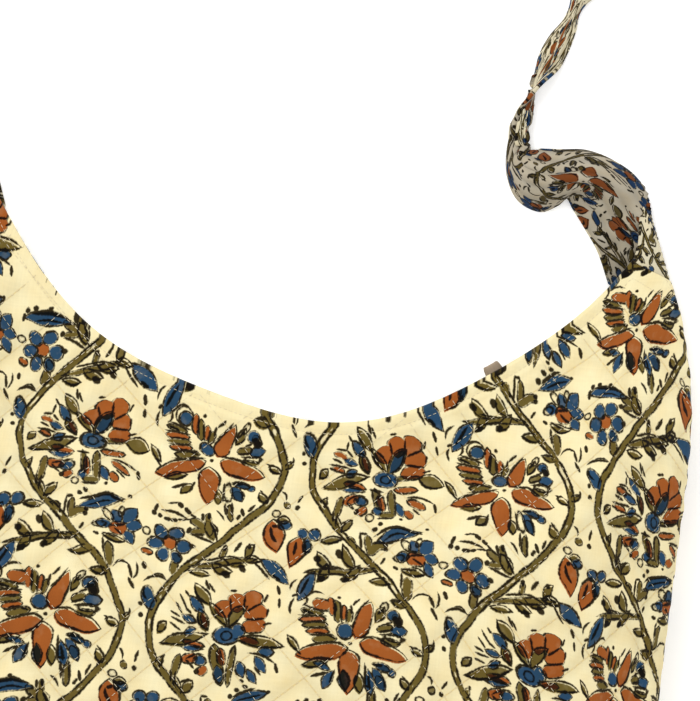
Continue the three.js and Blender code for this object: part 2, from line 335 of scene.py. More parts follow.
def even_places(place, height, step):
    """Values of place at even distances along the curve (place, height)."""
    length = np.concatenate([[0], np.cumsum(np.hypot(np.diff(place), np.diff(height)))])
    stops = np.linspace(0, length[-1], int(round(length[-1] / step)) + 1)
    return np.interp(stops, length, place)


def panel_columns(horn_x):
    """Shares of the half width from seam to seam, with one on each horn's inner corner."""
    x = HALF_WIDTH * np.sin(np.linspace(0, np.pi / 2, CURVE_SAMPLES))
    half = even_places(x, front_z(x, SECTION_Y), CLOTH_STEP) / HALF_WIDTH
    corner = horn_x / half_width(mouth_y(horn_x))
    half[np.argmin(np.abs(half - corner))] = corner
    return np.concatenate([-half[:0:-1], half])


def panel_rows():
    """Shares of the way up a column, closer together in the hem below the mouth."""
    tall = MOUTH_LOW_Y - BOTTOM_Y
    y = BOTTOM_Y + (tall - HEM_REACH) * (1 - np.cos(np.linspace(0, np.pi / 2, CURVE_SAMPLES)))
    body = even_places(y, front_z(0, y), CLOTH_STEP)
    hem = np.arange(MOUTH_LOW_Y - HEM_REACH, MOUTH_LOW_Y, HEM_STEP)[1:]
    return (np.concatenate([body, hem, [MOUTH_LOW_Y]]) - BOTTOM_Y) / tall


def panel_plan(columns, rows, horn_x):
    """Plan of a panel: y runs up each column from edge to edge, and x is a share of the width there.

    A column's top lies where the column meets the upper edge, which is found in rounds.
    """
    top_x = columns * HORN_X
    for _ in range(PLAN_ROUNDS):
        top_x = columns * half_width(upper_y(top_x, horn_x))
    y = mix(lower_y(columns * HALF_WIDTH)[:, None], upper_y(top_x, horn_x)[:, None], rows[None, :])
    return columns[:, None] * half_width(y), y


print(len(panel_columns(MOUTH_HALF_SPAN)), "columns,", len(panel_rows()), "rows")

# %% [markdown]
# Cloth is printed and quilted flat, and only then sewn into a bag. So each point of a panel needs its
# place on the flat cloth, as a UV map would give it. It is measured here as with a tape: over the surface,
# across from the middle line and up from the row of flowers.

# %% Places on the flat cloth
FLOWER_ROW_Y = 87.3  # the print was measured along this row, so the cloth's own y starts from it
ARC_STEPS = 40


def cloth_length(height, start, end):
    """Length over a surface along a straight line of the plan: a sum of chords, closer near its end."""
    stops = np.sin(np.linspace(0, np.pi / 2, ARC_STEPS + 1))
    length = 0
    last = (*start, height(*start))
    for stop in stops[1:]:
        x, y = mix(start[0], end[0], stop), mix(start[1], end[1], stop)
        here = (x, y, height(x, y))
        length = length + np.sqrt(sum((a - b) ** 2 for a, b in zip(here, last)))
        last = here
    return length


def flat_places(height, x, y):
    """Across and up on the flat cloth: lengths over the surface from the middle and from the flowers."""
    row = np.full_like(x, FLOWER_ROW_Y)
    across = np.sign(x) * cloth_length(height, (np.zeros_like(x), y), (x, y))
    up = FLOWER_ROW_Y + np.sign(y - FLOWER_ROW_Y) * cloth_length(height, (x, row), (x, y))
    return across, up


half_row = flat_places(front_z, np.array([float(HALF_WIDTH)]), np.array([FLOWER_ROW_Y]))[0][0]
print("flower row", round(2 * half_row), "mm from seam to seam over the cloth")

# %% [markdown]
# A printer sets the blocks down by eye, and cloth stretches when it is sewn, so the rows of a real print
# are never quite straight. A smooth drift of the print's places stands for that. It grows away from the
# row of flowers, and near the edges a few bell curves pull the print further, as the photo shows.

# %% Drift of the print
DRIFT_UNIT = 100
# For each unit above the flower row, and what that gains by a unit across and by a unit up
DRIFT_ACROSS = (-2.5, 3, -2)
DRIFT_UP = (-9.7, 2.9, -1.3)
DRIFT_FLOOR = -1.3  # further down the photo shows nothing of it
# Places where the print is pulled further: middle x and y, reach both ways, and the pull across and up
PULLS = (
    (-25, 95, 38, 24, -0.8, 6),
    (-150, 178, 40, 45, 6, -5),
    (200, -4, 30, 50, 22, 6),
    (200, 83, 22, 40, 5.5, 6),
    (195, 176, 32, 45, 14, -7),
    (133, 166, 34, 32, 4.5, -7.5),
)


def print_drift(x, y):
    """The print's drift across and up: squares of the place, and a bell curve for each pull."""
    u, v = x / DRIFT_UNIT, np.maximum((y - FLOWER_ROW_Y) / DRIFT_UNIT, DRIFT_FLOOR)
    across, up = (v * (first + by_u * u + by_v * v) for first, by_u, by_v in (DRIFT_ACROSS, DRIFT_UP))
    for middle_x, middle_y, reach_x, reach_y, pull_across, pull_up in PULLS:
        bell = np.exp(-(((x - middle_x) / reach_x) ** 2) - ((y - middle_y) / reach_y) ** 2)
        across, up = across + pull_across * bell, up + pull_up * bell
    return across, up


print("drift at the right horn", np.round(print_drift(HORN_X, HORN_Y), 1), "mm")

# %% [markdown]
# The quilting lines are straight on the flat cloth, apart from the slow wander of hand guiding. Each set
# of lines becomes a number that grows by one from line to line, so a line lies wherever the number is
# whole. The puffs, the painted shade along the lines and the stitches can then all be taken from the
# same two numbers.

# %% Quilting lines
LINE_SPACING = 25.1
LINE_STARTS = (-8.0, 1.5)  # where the rising and the falling lines cross the diagonals
LINE_WANDER = 0.7
WANDER_LENGTHS = ((31, 57), (47, -23))  # across and up, each for one sine
PUFF_REACH = 3.8


def quilt_phases(across, up):
    """Both sets of lines as numbers that are whole on a line, moved by the sum of two slow sines."""
    wander = LINE_WANDER * sum(np.sin(across / a + up / b) for a, b in WANDER_LENGTHS)
    rising = ((up - across) / math.sqrt(2) + wander - LINE_STARTS[0]) / LINE_SPACING
    falling = ((up + across) / math.sqrt(2) - wander - LINE_STARTS[1]) / LINE_SPACING
    return rising, falling


def puff(across, up):
    """0 on the quilting lines and nearly 1 between them: each line is a groove shaped as a bell curve."""
    height = 1
    for phase in quilt_phases(across, up):
        off = (phase - np.round(phase)) * LINE_SPACING
        height = height * (1 - np.exp(-((off / PUFF_REACH) ** 2)))
    return height


print("lines", LINE_SPACING, "mm apart")

# %% [markdown]
# A sewn edge is never quite smooth. The mouth's hem is turned in and stitched, so it is a little
# thicker and has a groove at its stitches. The side seams pull the cloth into small puckers, and the
# whole front waves a little. All of this goes along the normals of the smooth shape.

# %% Waves, creases and edges
# Slow waves of the front: wavelength, direction in degrees, height, start in degrees
WAVES = ((74, 20, 0.45, 40), (52, 105, 0.4, 150), (118, 62, 0.7, 250), (37, 150, 0.25, 10))
# Sharp creases where the front turns down at its right side, in the same terms as the soft folds
CREASES = (
    (192, 36, 89, 36, 3.4, 2.4),
    (186, -22, 78, 26, 3.2, 2),
    (176, 6, 97, 22, 3, 1.3),
    (196, 84, 84, 20, 2.6, 1.4),
    (168, -40, 70, 24, 3.4, 1.4),
)


def waves(x, y):
    """Sum of sine waves that run across the plan in different directions."""
    total = 0
    for length, direction, height, start in WAVES:
        along = x * math.cos(math.radians(direction)) + y * math.sin(math.radians(direction))
        total = total + height * np.sin(2 * np.pi * along / length + math.radians(start))
    return total


def mouth_distance(x, y, horn_x):
    """Distance below the mouth's edge, square to it."""
    slope = (mouth_y(x + 1) - mouth_y(x - 1)) / 2
    return (upper_y(x, horn_x) - y) / np.sqrt(1 + slope**2)


def seam_facing(points, side):
    """Normals of a panel, turned level on the side and bottom seams, square to the outline."""
    normal = facing(points)
    along = np.gradient(points[:, 0], axis=0)
    normal[:, 0] = np.stack([along[:, 1], -along[:, 0], 0 * along[:, 0]], 1) * side
    for column, turn in ((0, -side), (-1, side)):
        along = np.gradient(points[column], axis=0)
        normal[column] = np.stack([along[:, 1], -along[:, 0], 0 * along[:, 0]], 1) * turn
    return normal / np.linalg.norm(normal, axis=2, keepdims=True)


print(len(WAVES), "waves,", len(CREASES), "creases")

# %% [markdown]
# Now a panel comes together. Both are cut alike, so one function makes them. Its smooth shape is moved out
# along the normals by the puffs, the hem and the puckers, and in at the grooves. At the quilting lines the
# inner face comes out to meet the outer one, so the wall is thin there and thick between.

# %% Front and back panel
PANEL_WALL = 3
PUFF_HEIGHT = {1: 1.5, -1: 0.8}  # the back's puffs are pressed flatter by the floor
PUFF_REST = {1: 0.6, -1: 1.0}  # share of the puff that stays under the smooth shape
PUFF_FADE = 0.4  # roundness over which the puffs grow from the seams
FREE_FADE = 0.3  # roundness over which the cloth comes free of the seams
HEM_WIDTH = 7
HEM_FADE = 6  # over which the puffs grow from the hem
HEM_RISE = 0.35
HEM_EDGE = 1.5
HEM_LINE = 4
HEM_GROOVE = 0.5
GROOVE_REACH = 1.1
PUCKER_LENGTH = 16
PUCKER_HEIGHT = 0.8
PUCKER_PLACE = 0.25


def panel(name, horn_x, height, side):
    """A quilted panel. side is 1 for the front, and -1 for the back, laid out from right to left."""
    columns = panel_columns(horn_x)
    x, y = panel_plan(side * columns, panel_rows(), horn_x)
    base = np.stack([x, y, height(x, y)], 2)
    normal = seam_facing(base, side)
    across, up = flat_places(height, x, y)
    inside = roundness(x, y)
    below = mouth_distance(x, y, horn_x)
    quilted = smooth(inside / PUFF_FADE) * smooth((below - HEM_WIDTH) / HEM_FADE)
    puffed = mix(1, puff(across, up), quilted)
    free = smooth(inside / FREE_FADE)
    pucker = np.sin(2 * np.pi * (np.abs(across) + up) / PUCKER_LENGTH)
    pucker *= PUCKER_HEIGHT * inside / PUCKER_PLACE * np.exp(1 - inside / PUCKER_PLACE)
    sway = pucker + ((waves(x, y) - fold_depth(x, y, CREASES)) * free if side == 1 else 0)
    hem = HEM_RISE * (1 - smooth((below - HEM_WIDTH) / HEM_EDGE)) * free
    groove = HEM_GROOVE * np.exp(-(((below - HEM_LINE) / GROOVE_REACH) ** 2)) * free
    rise = PUFF_HEIGHT[side] * free * (puffed - PUFF_REST[side])
    thin = PUFF_HEIGHT[side] * free * (1 - puffed)
    hem_lift = hem - groove if side == 1 else -groove
    outer = base + normal * (sway + rise + hem_lift)[..., None]
    inner = base + normal * (sway + thin + groove / 2 - PANEL_WALL)[..., None]
    bulge = np.zeros_like(x)
    bulge[np.abs(columns) <= horn_x / half_width(mouth_y(horn_x)), -1] = 1
    drift_across, drift_up = print_drift(side * x, y)
    # The third number, the puff, is later used to paint shade into the quilting grooves.
    cloth = np.stack([side * across + drift_across, up + drift_up, puffed], 2)
    seams = np.stack([*quilt_phases(across, up), puffed], 2)
    piece = cloth_object(name, outer, inner, cloth, bulge, seams)
    return piece, {"outer": outer, "normal": normal, "across": across, "up": up, "below": below}


front, front_grid = panel("front_cloth", MOUTH_HALF_SPAN, front_z, 1)
back, back_grid = panel("back_cloth", BACK_HORN_X, back_z, -1)

# %% [markdown]
# The strap is one long strip, folded lengthwise where it leaves the horns and twisted once on its way.
# The photo shows about a third of it, the rest lies in a plain loop outside the picture. Each table row
# gives the two edges of its outer face, as the CAD's do, and smooth curves join the rows. Where the strip
# is narrower than its cut width, the spare cloth stands up in pleats.

# %% Strap tables, in millimetres
STRAP_WIDTH = 40
STRAP_WALL = 2
# From the right horn on: the left edge, the outside of the fold, the lapped edge, and the middle's arch
STRAP_ROWS = [
    ((154, 197, 0), (183.5, 203, 9), (163.6, 210, 18), 0),
    ((146, 214, 0), (176.5, 220, 5), (165.5, 219, 12), 0),
    ((138, 225, 0), (171, 233, 3), (165, 233, 7), 1),
    ((131, 234, 0), (167, 243, 1), (165, 243, 2), 4),
    ((126.5, 240, 2), (159, 252, 0), None, 8),
    ((124.5, 239, 3), (146, 259, 0), None, 10),
    ((121, 235, 2), (133, 262, 0), None, 11),
    ((114, 231.5, 0), (122, 261, 0), None, 12),
    ((103, 235.5, 0), (111.5, 260, 1), None, 11),
    ((96.5, 247, 0), (104, 259.5, 2), None, 6),
    ((95, 261.5, 0), (103, 265, 3), (98.5, 263, 7), 0),
    ((95.5, 276, 0), (103, 277, 3), (98, 276, 6), 0),
    ((103, 291, 11), (102, 291, 1), None, 0),
    ((116, 307.5, 2), (103, 306, 2), None, 2),
    ((120, 321.5, 2), (107.5, 318.5, 2), None, 3),
    ((122, 333.5, 2), (115, 331.5, 2), None, 2),
]
# The rest of the loop: middle x and y, heading and roll in degrees, and the width that it covers
STRAP_REST = [
    (127, 358, 72, 180, 26),
    (131, 392, 100, 180, 36),
    (112, 423, 145, 180, STRAP_WIDTH),
    (66, 441, 166, 180, STRAP_WIDTH),
    (8, 446, 180, 180, STRAP_WIDTH),
    (-50, 440, 193, 180, 34),
    (-98, 420, 212, 90, 16),
    (-138, 388, 226, 0, 34),
    (-174, 343, 243, 0, 36),
    (-192, 290, 256, 0, 34),
]
STRAP_END = [
    ((-171, 248, 0), (-205, 244, 1), (-201, 245, 3), 0),
    ((-163, 222, 0), (-194, 222, 5), (-178, 224, 12), 0),
    ((-154, 197, 0), (-183.5, 203, 9), (-163.6, 210, 18), 0),
]


def rest_row(x, y, heading, roll, width):
    """Both edges of the loose strip from its middle, heading, roll and width, resting on the floor."""
    turn, tilt = math.radians(heading + 90), math.radians(roll)
    reach, lift = math.cos(tilt) * width / 2, math.sin(tilt) * width / 2
    middle_z = abs(lift) + STRAP_WALL * (1 - math.cos(tilt)) / 2
    left = (x + reach * math.cos(turn), y + reach * math.sin(turn), middle_z + lift)
    fold = (x - reach * math.cos(turn), y - reach * math.sin(turn), middle_z - lift)
    return left, fold, None, 0


strap_rows = [*STRAP_ROWS, *(rest_row(*row) for row in STRAP_REST), *STRAP_END]
left_rows = np.array([row[0] for row in strap_rows], dtype=float)
fold_rows = np.array([row[1] for row in strap_rows], dtype=float)
lap_rows = np.array([row[2] or row[1] for row in strap_rows], dtype=float)
arch_rows = np.array([(place, row[3], 0) for place, row in enumerate(strap_rows)], dtype=float)
for rows in (left_rows, fold_rows, lap_rows):
    rows[[0, -1], 1] += GAP
print(len(strap_rows), "strap rows")

# %% [markdown]
# Curves through the rows give the strip's edges and its fold, and the outer face runs between them. A
# curve object's handles could be set by hand, but here the rows are enough. A curve through points can
# overshoot where they lie close together, and slopes weighed by the square roots of spans keep it calm.

# %% Outer face of the strap
LEAST_SPAN = 1e-4


def curve_through(points, count):
    """A smooth curve through the points: a cubic for each span, its end slopes weighed by root spans."""
    ends = 2 * points[[0, -1]] - points[[1, -2]]
    p = np.concatenate([ends[:1], points, ends[1:]])
    span = np.linalg.norm(np.diff(p, axis=0), axis=1) ** 0.5
    at = np.linspace(0, len(points) - 1, count)
    k = np.minimum(at.astype(int), len(points) - 2)
    w = (at - k)[:, None]
    p0, p1, p2, p3 = p[k], p[k + 1], p[k + 2], p[k + 3]
    middle = np.maximum(span[k + 1], LEAST_SPAN)[:, None]
    before, after = span[k][:, None], span[k + 2][:, None]
    before = np.where(before < LEAST_SPAN, middle, before)
    after = np.where(after < LEAST_SPAN, middle, after)
    start = ((p1 - p0) / before - (p2 - p0) / (before + middle) + (p2 - p1) / middle) * middle
    end = ((p2 - p1) / middle - (p3 - p1) / (middle + after) + (p3 - p2) / after) * middle
    return p1 + w * (start + w * (3 * (p2 - p1) - 2 * start - end + w * (2 * (p1 - p2) + start + end)))


def fold_ramp(t, flat_width, lap_width):
    """Share of the way up the fold: straight, or rounded as the horn is where the strip is lapped."""
    round_share = np.minimum(1, HORN_ROUND / np.maximum(flat_width, GAP))
    q = np.clip((t - (1 - round_share)) / round_share, 0, 1)
    return mix(t, 1 - np.sqrt(1 - q * q), np.minimum(1, lap_width / HORN_ROUND))


def strap_surface(columns, steps):
    """The outer face, from the lapped edge round the fold to the left edge, and the width it covers."""
    left, fold, lap = (curve_through(rows, steps)[None] for rows in (left_rows, fold_rows, lap_rows))
    arch = curve_through(arch_rows, steps)[None, :, 1]
    flat_width = np.linalg.norm(left - fold, axis=2)
    lap_width = np.linalg.norm(lap - fold, axis=2)
    covered = flat_width + lap_width
    across = np.linspace(0, 1, columns)[:, None] * covered
    on_lap = across < lap_width
    t = np.where(on_lap, across / np.maximum(lap_width, LEAST_SPAN), (covered - across) / flat_width)
    edge = np.where(on_lap[..., None], lap, left)
    points = mix(edge, fold, t[..., None])
    ramp = fold_ramp(t, np.where(on_lap, lap_width, flat_width), lap_width)
    points[..., 2] = mix(edge[..., 2], fold[..., 2], ramp) + np.where(on_lap, 0, arch * np.sin(np.pi * t))
    return points, covered


widths = strap_surface(2, len(strap_rows))[1]
print("the strip covers", round(widths.min()), "to", round(widths.max()), "mm across")

# %% [markdown]
# A soft strip that is squeezed together stands up in pleats along it and crumples across it. A cloth
# simulation would find pleats of its own, in other places each time. A cosine across the strip puts them
# where the strip is narrow, slanting sines crumple it, and both fade where it is sewn to the horns.

# %% Pleated strap
STRAP_COLUMNS = 48
STRAP_STEPS_PER_ROW = 16
PLEATS = 5
PLEAT_LIMIT = 1.5
PLEAT_WOBBLES = ((0.9, 19, 0), (0.6, 11, 2))  # turn, length and start of each sine
LEAST_SPARE = 0.3
SEWN_END = 25
CRUMPLE_LENGTH = 13
CRUMPLE_HEIGHT = 1.2
CRUMPLE_SLANT = 1.3
CRUMPLE_SWAY, SWAY_LENGTH = 0.4, 17
CRUMPLE_SWELL = 23
STRAP_FLAT_START = (20, 35)  # where the strip was cut from the print, along it and across it
STRAP_GATHER = (1.5, 2.6)  # the strip is bunched up, along it and more so across, and its print with it


def strap():
    """The strip with its pleats, which lift the cloth by a cosine across it where spare width is left."""
    steps = (len(strap_rows) - 1) * STRAP_STEPS_PER_ROW + 1
    points, covered = strap_surface(STRAP_COLUMNS, steps)
    normal = facing(points)
    normal[:, [0, -1], 1] = 0
    normal /= np.linalg.norm(normal, axis=2, keepdims=True)
    share = np.linspace(0, 1, STRAP_COLUMNS)[:, None]
    along = np.linalg.norm(np.diff(points.mean(0), axis=0), axis=1).cumsum()
    along = np.concatenate([[0], along])[None, :]
    spare = np.maximum(LEAST_SPARE, np.sqrt(np.clip(STRAP_WIDTH / covered - 1, 0, 1)))
    wobble = sum(turn * np.sin(along / length + start) for turn, length, start in PLEAT_WOBBLES)
    lift = np.minimum(PLEAT_LIMIT, covered / (np.pi * PLEATS) * spare)
    ends = smooth(along / SEWN_END) * smooth((along.max() - along) / SEWN_END)
    pleat = lift * ends * (1 - np.cos(2 * np.pi * PLEATS * share + wobble)) / 2
    sway = CRUMPLE_SWAY * np.sin(along / SWAY_LENGTH)
    slant = along / CRUMPLE_LENGTH + CRUMPLE_SLANT * share + sway
    swell = (1 + np.sin(along / CRUMPLE_SWELL) ** 2) / 2
    crumple = CRUMPLE_HEIGHT * ends * (1 + np.sin(2 * np.pi * slant)) / 2 * swell
    points[..., 2] += (pleat + crumple) * np.abs(normal[..., 2])
    normal[:, 1:-1] = facing(points)[:, 1:-1]
    flat_along = STRAP_FLAT_START[0] + STRAP_GATHER[0] * along
    flat_across = STRAP_FLAT_START[1] + STRAP_GATHER[1] * STRAP_WIDTH * share
    # The third number, the pleat's height, is later used to paint shade between the pleats.
    flat = np.stack(np.broadcast_arrays(flat_along, flat_across, pleat / PLEAT_LIMIT), 2)
    bulge = np.zeros(points.shape[:2])
    bulge[[0, -1], 1:-1] = 1
    return cloth_object("strap_cloth", points, points - STRAP_WALL * normal, flat, bulge), along.max()


strap_piece, strap_length = strap()
print("strap", round(strap_length), "mm long")

# %% [markdown]
# The tab is a short doubled strip of plain cotton, caught in the hem of the front and lying against its
# inside, with only its end above the mouth. Its dark taupe colour is painted shade, as it lies under the
# front's edge. It follows the front's inner face.

# %% Tab behind the mouth
TAB_X = 102
TAB_HALF_WIDTH = 4.5
TAB_INSIDE = 18
TAB_OUTSIDE = 5
TAB_TAPER = 0.25
TAB_WALL = 1.5
TAB_EDGE = 0.25  # how much thicker it is where its edges are turned in
TAB_EDGE_START, TAB_EDGE_REACH = 0.6, 0.3
TAB_COLUMNS, TAB_ROWS = 17, 41


def tab():
    """A strip under the front's wall, square to the mouth's edge, narrowed by a fourth power."""
    u = np.linspace(-1, 1, TAB_COLUMNS)[:, None]
    v = np.linspace(0, 1, TAB_ROWS)[None, :]
    slope = math.atan2(mouth_y(TAB_X + 1) - mouth_y(TAB_X - 1), 2)
    sideways = u * TAB_HALF_WIDTH * (1 - TAB_TAPER * v**4)
    outward = np.broadcast_to(mix(-TAB_INSIDE, TAB_OUTSIDE, v), sideways.shape)
    x = TAB_X + sideways * math.cos(slope) - outward * math.sin(slope)
    y = mouth_y(TAB_X) + sideways * math.sin(slope) + outward * math.cos(slope)
    z = front_z(x, np.minimum(y, mouth_y(x))) - PANEL_WALL - 2 * GAP
    points = np.stack([x, y, z], 2)
    edge = TAB_EDGE * smooth((np.abs(u) - TAB_EDGE_START) / TAB_EDGE_REACH) * np.ones_like(v)
    inner = points - (TAB_WALL + edge)[..., None] * facing(points)
    # The third number drops at the turned-in edges, which are later darkened there as painted shade.
    flat = np.stack(np.broadcast_arrays(sideways, outward, 1 - edge), 2)
    return cloth_object("tab_cloth", points, inner, flat, np.ones(points.shape[:2]))


tab_piece = tab()

# %% [markdown]
# The stitches are off-white cotton, most easily seen where a line crosses dark dye. Each is a short
# rounded grain of thread lying on the cloth. Where a line runs over a panel is found on the panel's own
# grid: a line's number is a field over the grid, and the line passes wherever the field is whole.

# %% Places of the stitches
BREAK = 8  # a line is broken where the cloth is away for longer than this
LEAST_CROSSINGS = 4  # a line that crosses fewer edges of the grid gets no stitches


def line_points(field, level, along, points, normals):
    """Where a field passes a level, on each edge of its grid that it crosses, in order along the line."""
    crossings = []
    for axis in (0, 1):
        low = tuple(slice(None, -1) if a == axis else slice(None) for a in (0, 1))
        high = tuple(slice(1, None) if a == axis else slice(None) for a in (0, 1))
        crossed = (field[low] - level) * (field[high] - level) < 0
        t = (level - field[low][crossed]) / (field[high][crossed] - field[low][crossed])
        values = np.concatenate([along[..., None], points, normals], 2)
        crossings.append(mix(values[low][crossed], values[high][crossed], t[:, None]))
    found = np.concatenate(crossings)
    return found[np.argsort(found[:, 0])]


def stitches_along(found, pitch, length):
    """Start, end and normal of the stitches on one line, evenly spaced along it, none over a break."""
    if len(found) < LEAST_CROSSINGS:
        return np.zeros((0, 9))
    s = found[:, 0]
    middle = np.arange(math.ceil(s[0] / pitch), math.floor(s[-1] / pitch)) * pitch + pitch / 2
    after = np.clip(np.searchsorted(s, middle), 1, len(s) - 1)
    middle = middle[s[after] - s[after - 1] < BREAK]
    columns = [np.interp(middle - length / 2, s, found[:, c]) for c in (1, 2, 3)]
    columns += [np.interp(middle + length / 2, s, found[:, c]) for c in (1, 2, 3)]
    columns += [np.interp(middle, s, found[:, c]) for c in (4, 5, 6)]
    return np.stack(columns, 1)


print("no stitches over a break of", BREAK, "mm")

# %% [markdown]
# A stitch is thread pulled tight between two holes, so it is a grain with two tips rather than a tube. A
# curve with a bevel would make each one an object of its own. With thousands of them one mesh for each
# panel is lighter: every stitch gets two rings and two tips, and all of them are worked out at once.

# %% Grains of thread
THREAD_RADIUS = 0.14
THREAD_SIDES = 5
THREAD_LIFT = 0.6  # how far a grain's middle line lies above the cloth, in radii
RING_SHARES = (0.2, 0.8)  # where the two rings sit along a grain


def stitch_object(name, ends):
    """Grains of thread: two rings and two tips each, the rings round the line from start to end."""
    start, end, normal = ends[:, None, :3], ends[:, None, 3:6], ends[:, None, 6:]
    run = (end - start) / np.linalg.norm(end - start, axis=2, keepdims=True)
    aside = np.cross(run, normal)
    aside /= np.linalg.norm(aside, axis=2, keepdims=True)
    turn = 2 * np.pi * np.arange(THREAD_SIDES)[None, :, None] / THREAD_SIDES
    ring = THREAD_RADIUS * (np.cos(turn) * aside + np.sin(turn) * normal)
    lift = normal * THREAD_RADIUS * THREAD_LIFT
    rings = [mix(start, end, share) + lift + ring for share in RING_SHARES]
    points = np.concatenate([start, *rings, end], 1)
    near, far = 1 + np.arange(THREAD_SIDES), 1 + THREAD_SIDES + np.arange(THREAD_SIDES)
    last = 2 * THREAD_SIDES + 1
    body = np.stack([near, np.roll(near, -1), np.roll(far, -1), far], 1)
    first_tip = np.stack([0 * near, np.roll(near, -1), near], 1)
    last_tip = np.stack([0 * far + last, far, np.roll(far, -1)], 1)
    base = (np.arange(len(ends)) * (last + 1))[:, None, None]
    kinds = (body, first_tip, last_tip)
    faces = [(kind[None] + base).reshape(-1, kind.shape[1]).tolist() for kind in kinds]
    mesh = bpy.data.meshes.new(name)
    mesh.from_pydata((points.reshape(-1, 3) * MM).tolist(), [], sum(faces, []))
    mesh.polygons.foreach_set("use_smooth", np.ones(len(mesh.polygons), dtype=bool))
    mesh.update()
    piece = bpy.data.objects.new(name, mesh)
    scene.collection.objects.link(piece)
    print(name, len(ends), "stitches")
    return piece


print("thread", 2 * THREAD_RADIUS, "mm thick")

# %% [markdown]
# Both sets of quilting lines are followed over each panel, level by level. The hem's row is followed in
# the same way, at its own distance below the mouth, and its stitches are shorter.

# %% Stitches of the panels
STITCH_PITCH = 3.6
STITCH_LENGTH = 2.6
HEM_STITCH = 0.75  # the hem's stitches, as a share of the quilting's


def panel_stitches(name, grid):
    """The quilting lines of a panel as far as its hem and seams, and the row of stitches in the hem."""
    across, up, points, normal = (grid[key] for key in ("across", "up", "outer", "normal"))
    rising, falling = quilt_phases(across, up)
    rows = []
    for field, along in ((rising, up + across), (falling, up - across)):
        for level in range(math.ceil(field.min()), math.floor(field.max()) + 1):
            found = line_points(field, level, along / math.sqrt(2), points, normal)
            rows.append(stitches_along(found, STITCH_PITCH, STITCH_LENGTH))
    x = np.linspace(-HALF_WIDTH, HALF_WIDTH, CURVE_SAMPLES)
    edge = np.concatenate([[0], np.cumsum(np.hypot(np.diff(x), np.diff(mouth_y(x))))])
    hem = line_points(grid["below"], HEM_LINE, np.interp(points[..., 0], x, edge), points, normal)
    rows.append(stitches_along(hem, STITCH_PITCH * HEM_STITCH, STITCH_LENGTH * HEM_STITCH))
    return stitch_object(name, np.concatenate(rows))


front_thread = panel_stitches("front_stitches", front_grid)
back_thread = panel_stitches("back_stitches", back_grid)

# %% [markdown]
# The rest is colour. Materials are often wired by hand in the shader editor, but the print needs
# thousands of small sums, so helpers add the nodes here. Each takes a tree and what goes in, and gives
# back the socket that comes out. A Vector Math node does three sums at once, which keeps the trees small.

# %% Nodes by hand
def link(tree, socket, value):
    """Feed a socket from another socket, or set it to a value."""
    if isinstance(value, bpy.types.NodeSocket):
        tree.links.new(value, socket)
    else:
        socket.default_value = value


def number(tree, operation, *values, clamp=False):
    """A Math node's result."""
    node = tree.nodes.new("ShaderNodeMath")
    node.operation = operation
    node.use_clamp = clamp
    for socket, value in zip(node.inputs, values):
        link(tree, socket, value)
    return node.outputs[0]


def triple(tree, operation, *values):
    """A Vector Math node's result, three numbers at once."""
    node = tree.nodes.new("ShaderNodeVectorMath")
    node.operation = operation
    for socket, value in zip(node.inputs, values):
        link(tree, socket, value)
    return node.outputs[0]


def noise(tree, place, scale, detail, output):
    """A two-dimensional noise over a place in millimetres, scale in bumps per millimetre."""
    node = tree.nodes.new("ShaderNodeTexNoise")
    node.noise_dimensions = "2D"
    link(tree, node.inputs["Vector"], place)
    node.inputs["Scale"].default_value = scale
    node.inputs["Detail"].default_value = detail
    return node.outputs[output]


def parts(tree, vector):
    """The x, y and z of a vector."""
    node = tree.nodes.new("ShaderNodeSeparateXYZ")
    link(tree, node.inputs[0], vector)
    return node.outputs


def node_group(name, inputs, outputs):
    """An empty shader node group with named sockets, its inputs, and its output node."""
    tree = bpy.data.node_groups.new(name, "ShaderNodeTree")
    for socket_name, kind in inputs:
        tree.interface.new_socket(socket_name, in_out="INPUT", socket_type=kind)
    for socket_name, kind in outputs:
        tree.interface.new_socket(socket_name, in_out="OUTPUT", socket_type=kind)
    start = tree.nodes.new("NodeGroupInput")
    end = tree.nodes.new("NodeGroupOutput")
    return tree, start.outputs, end.inputs
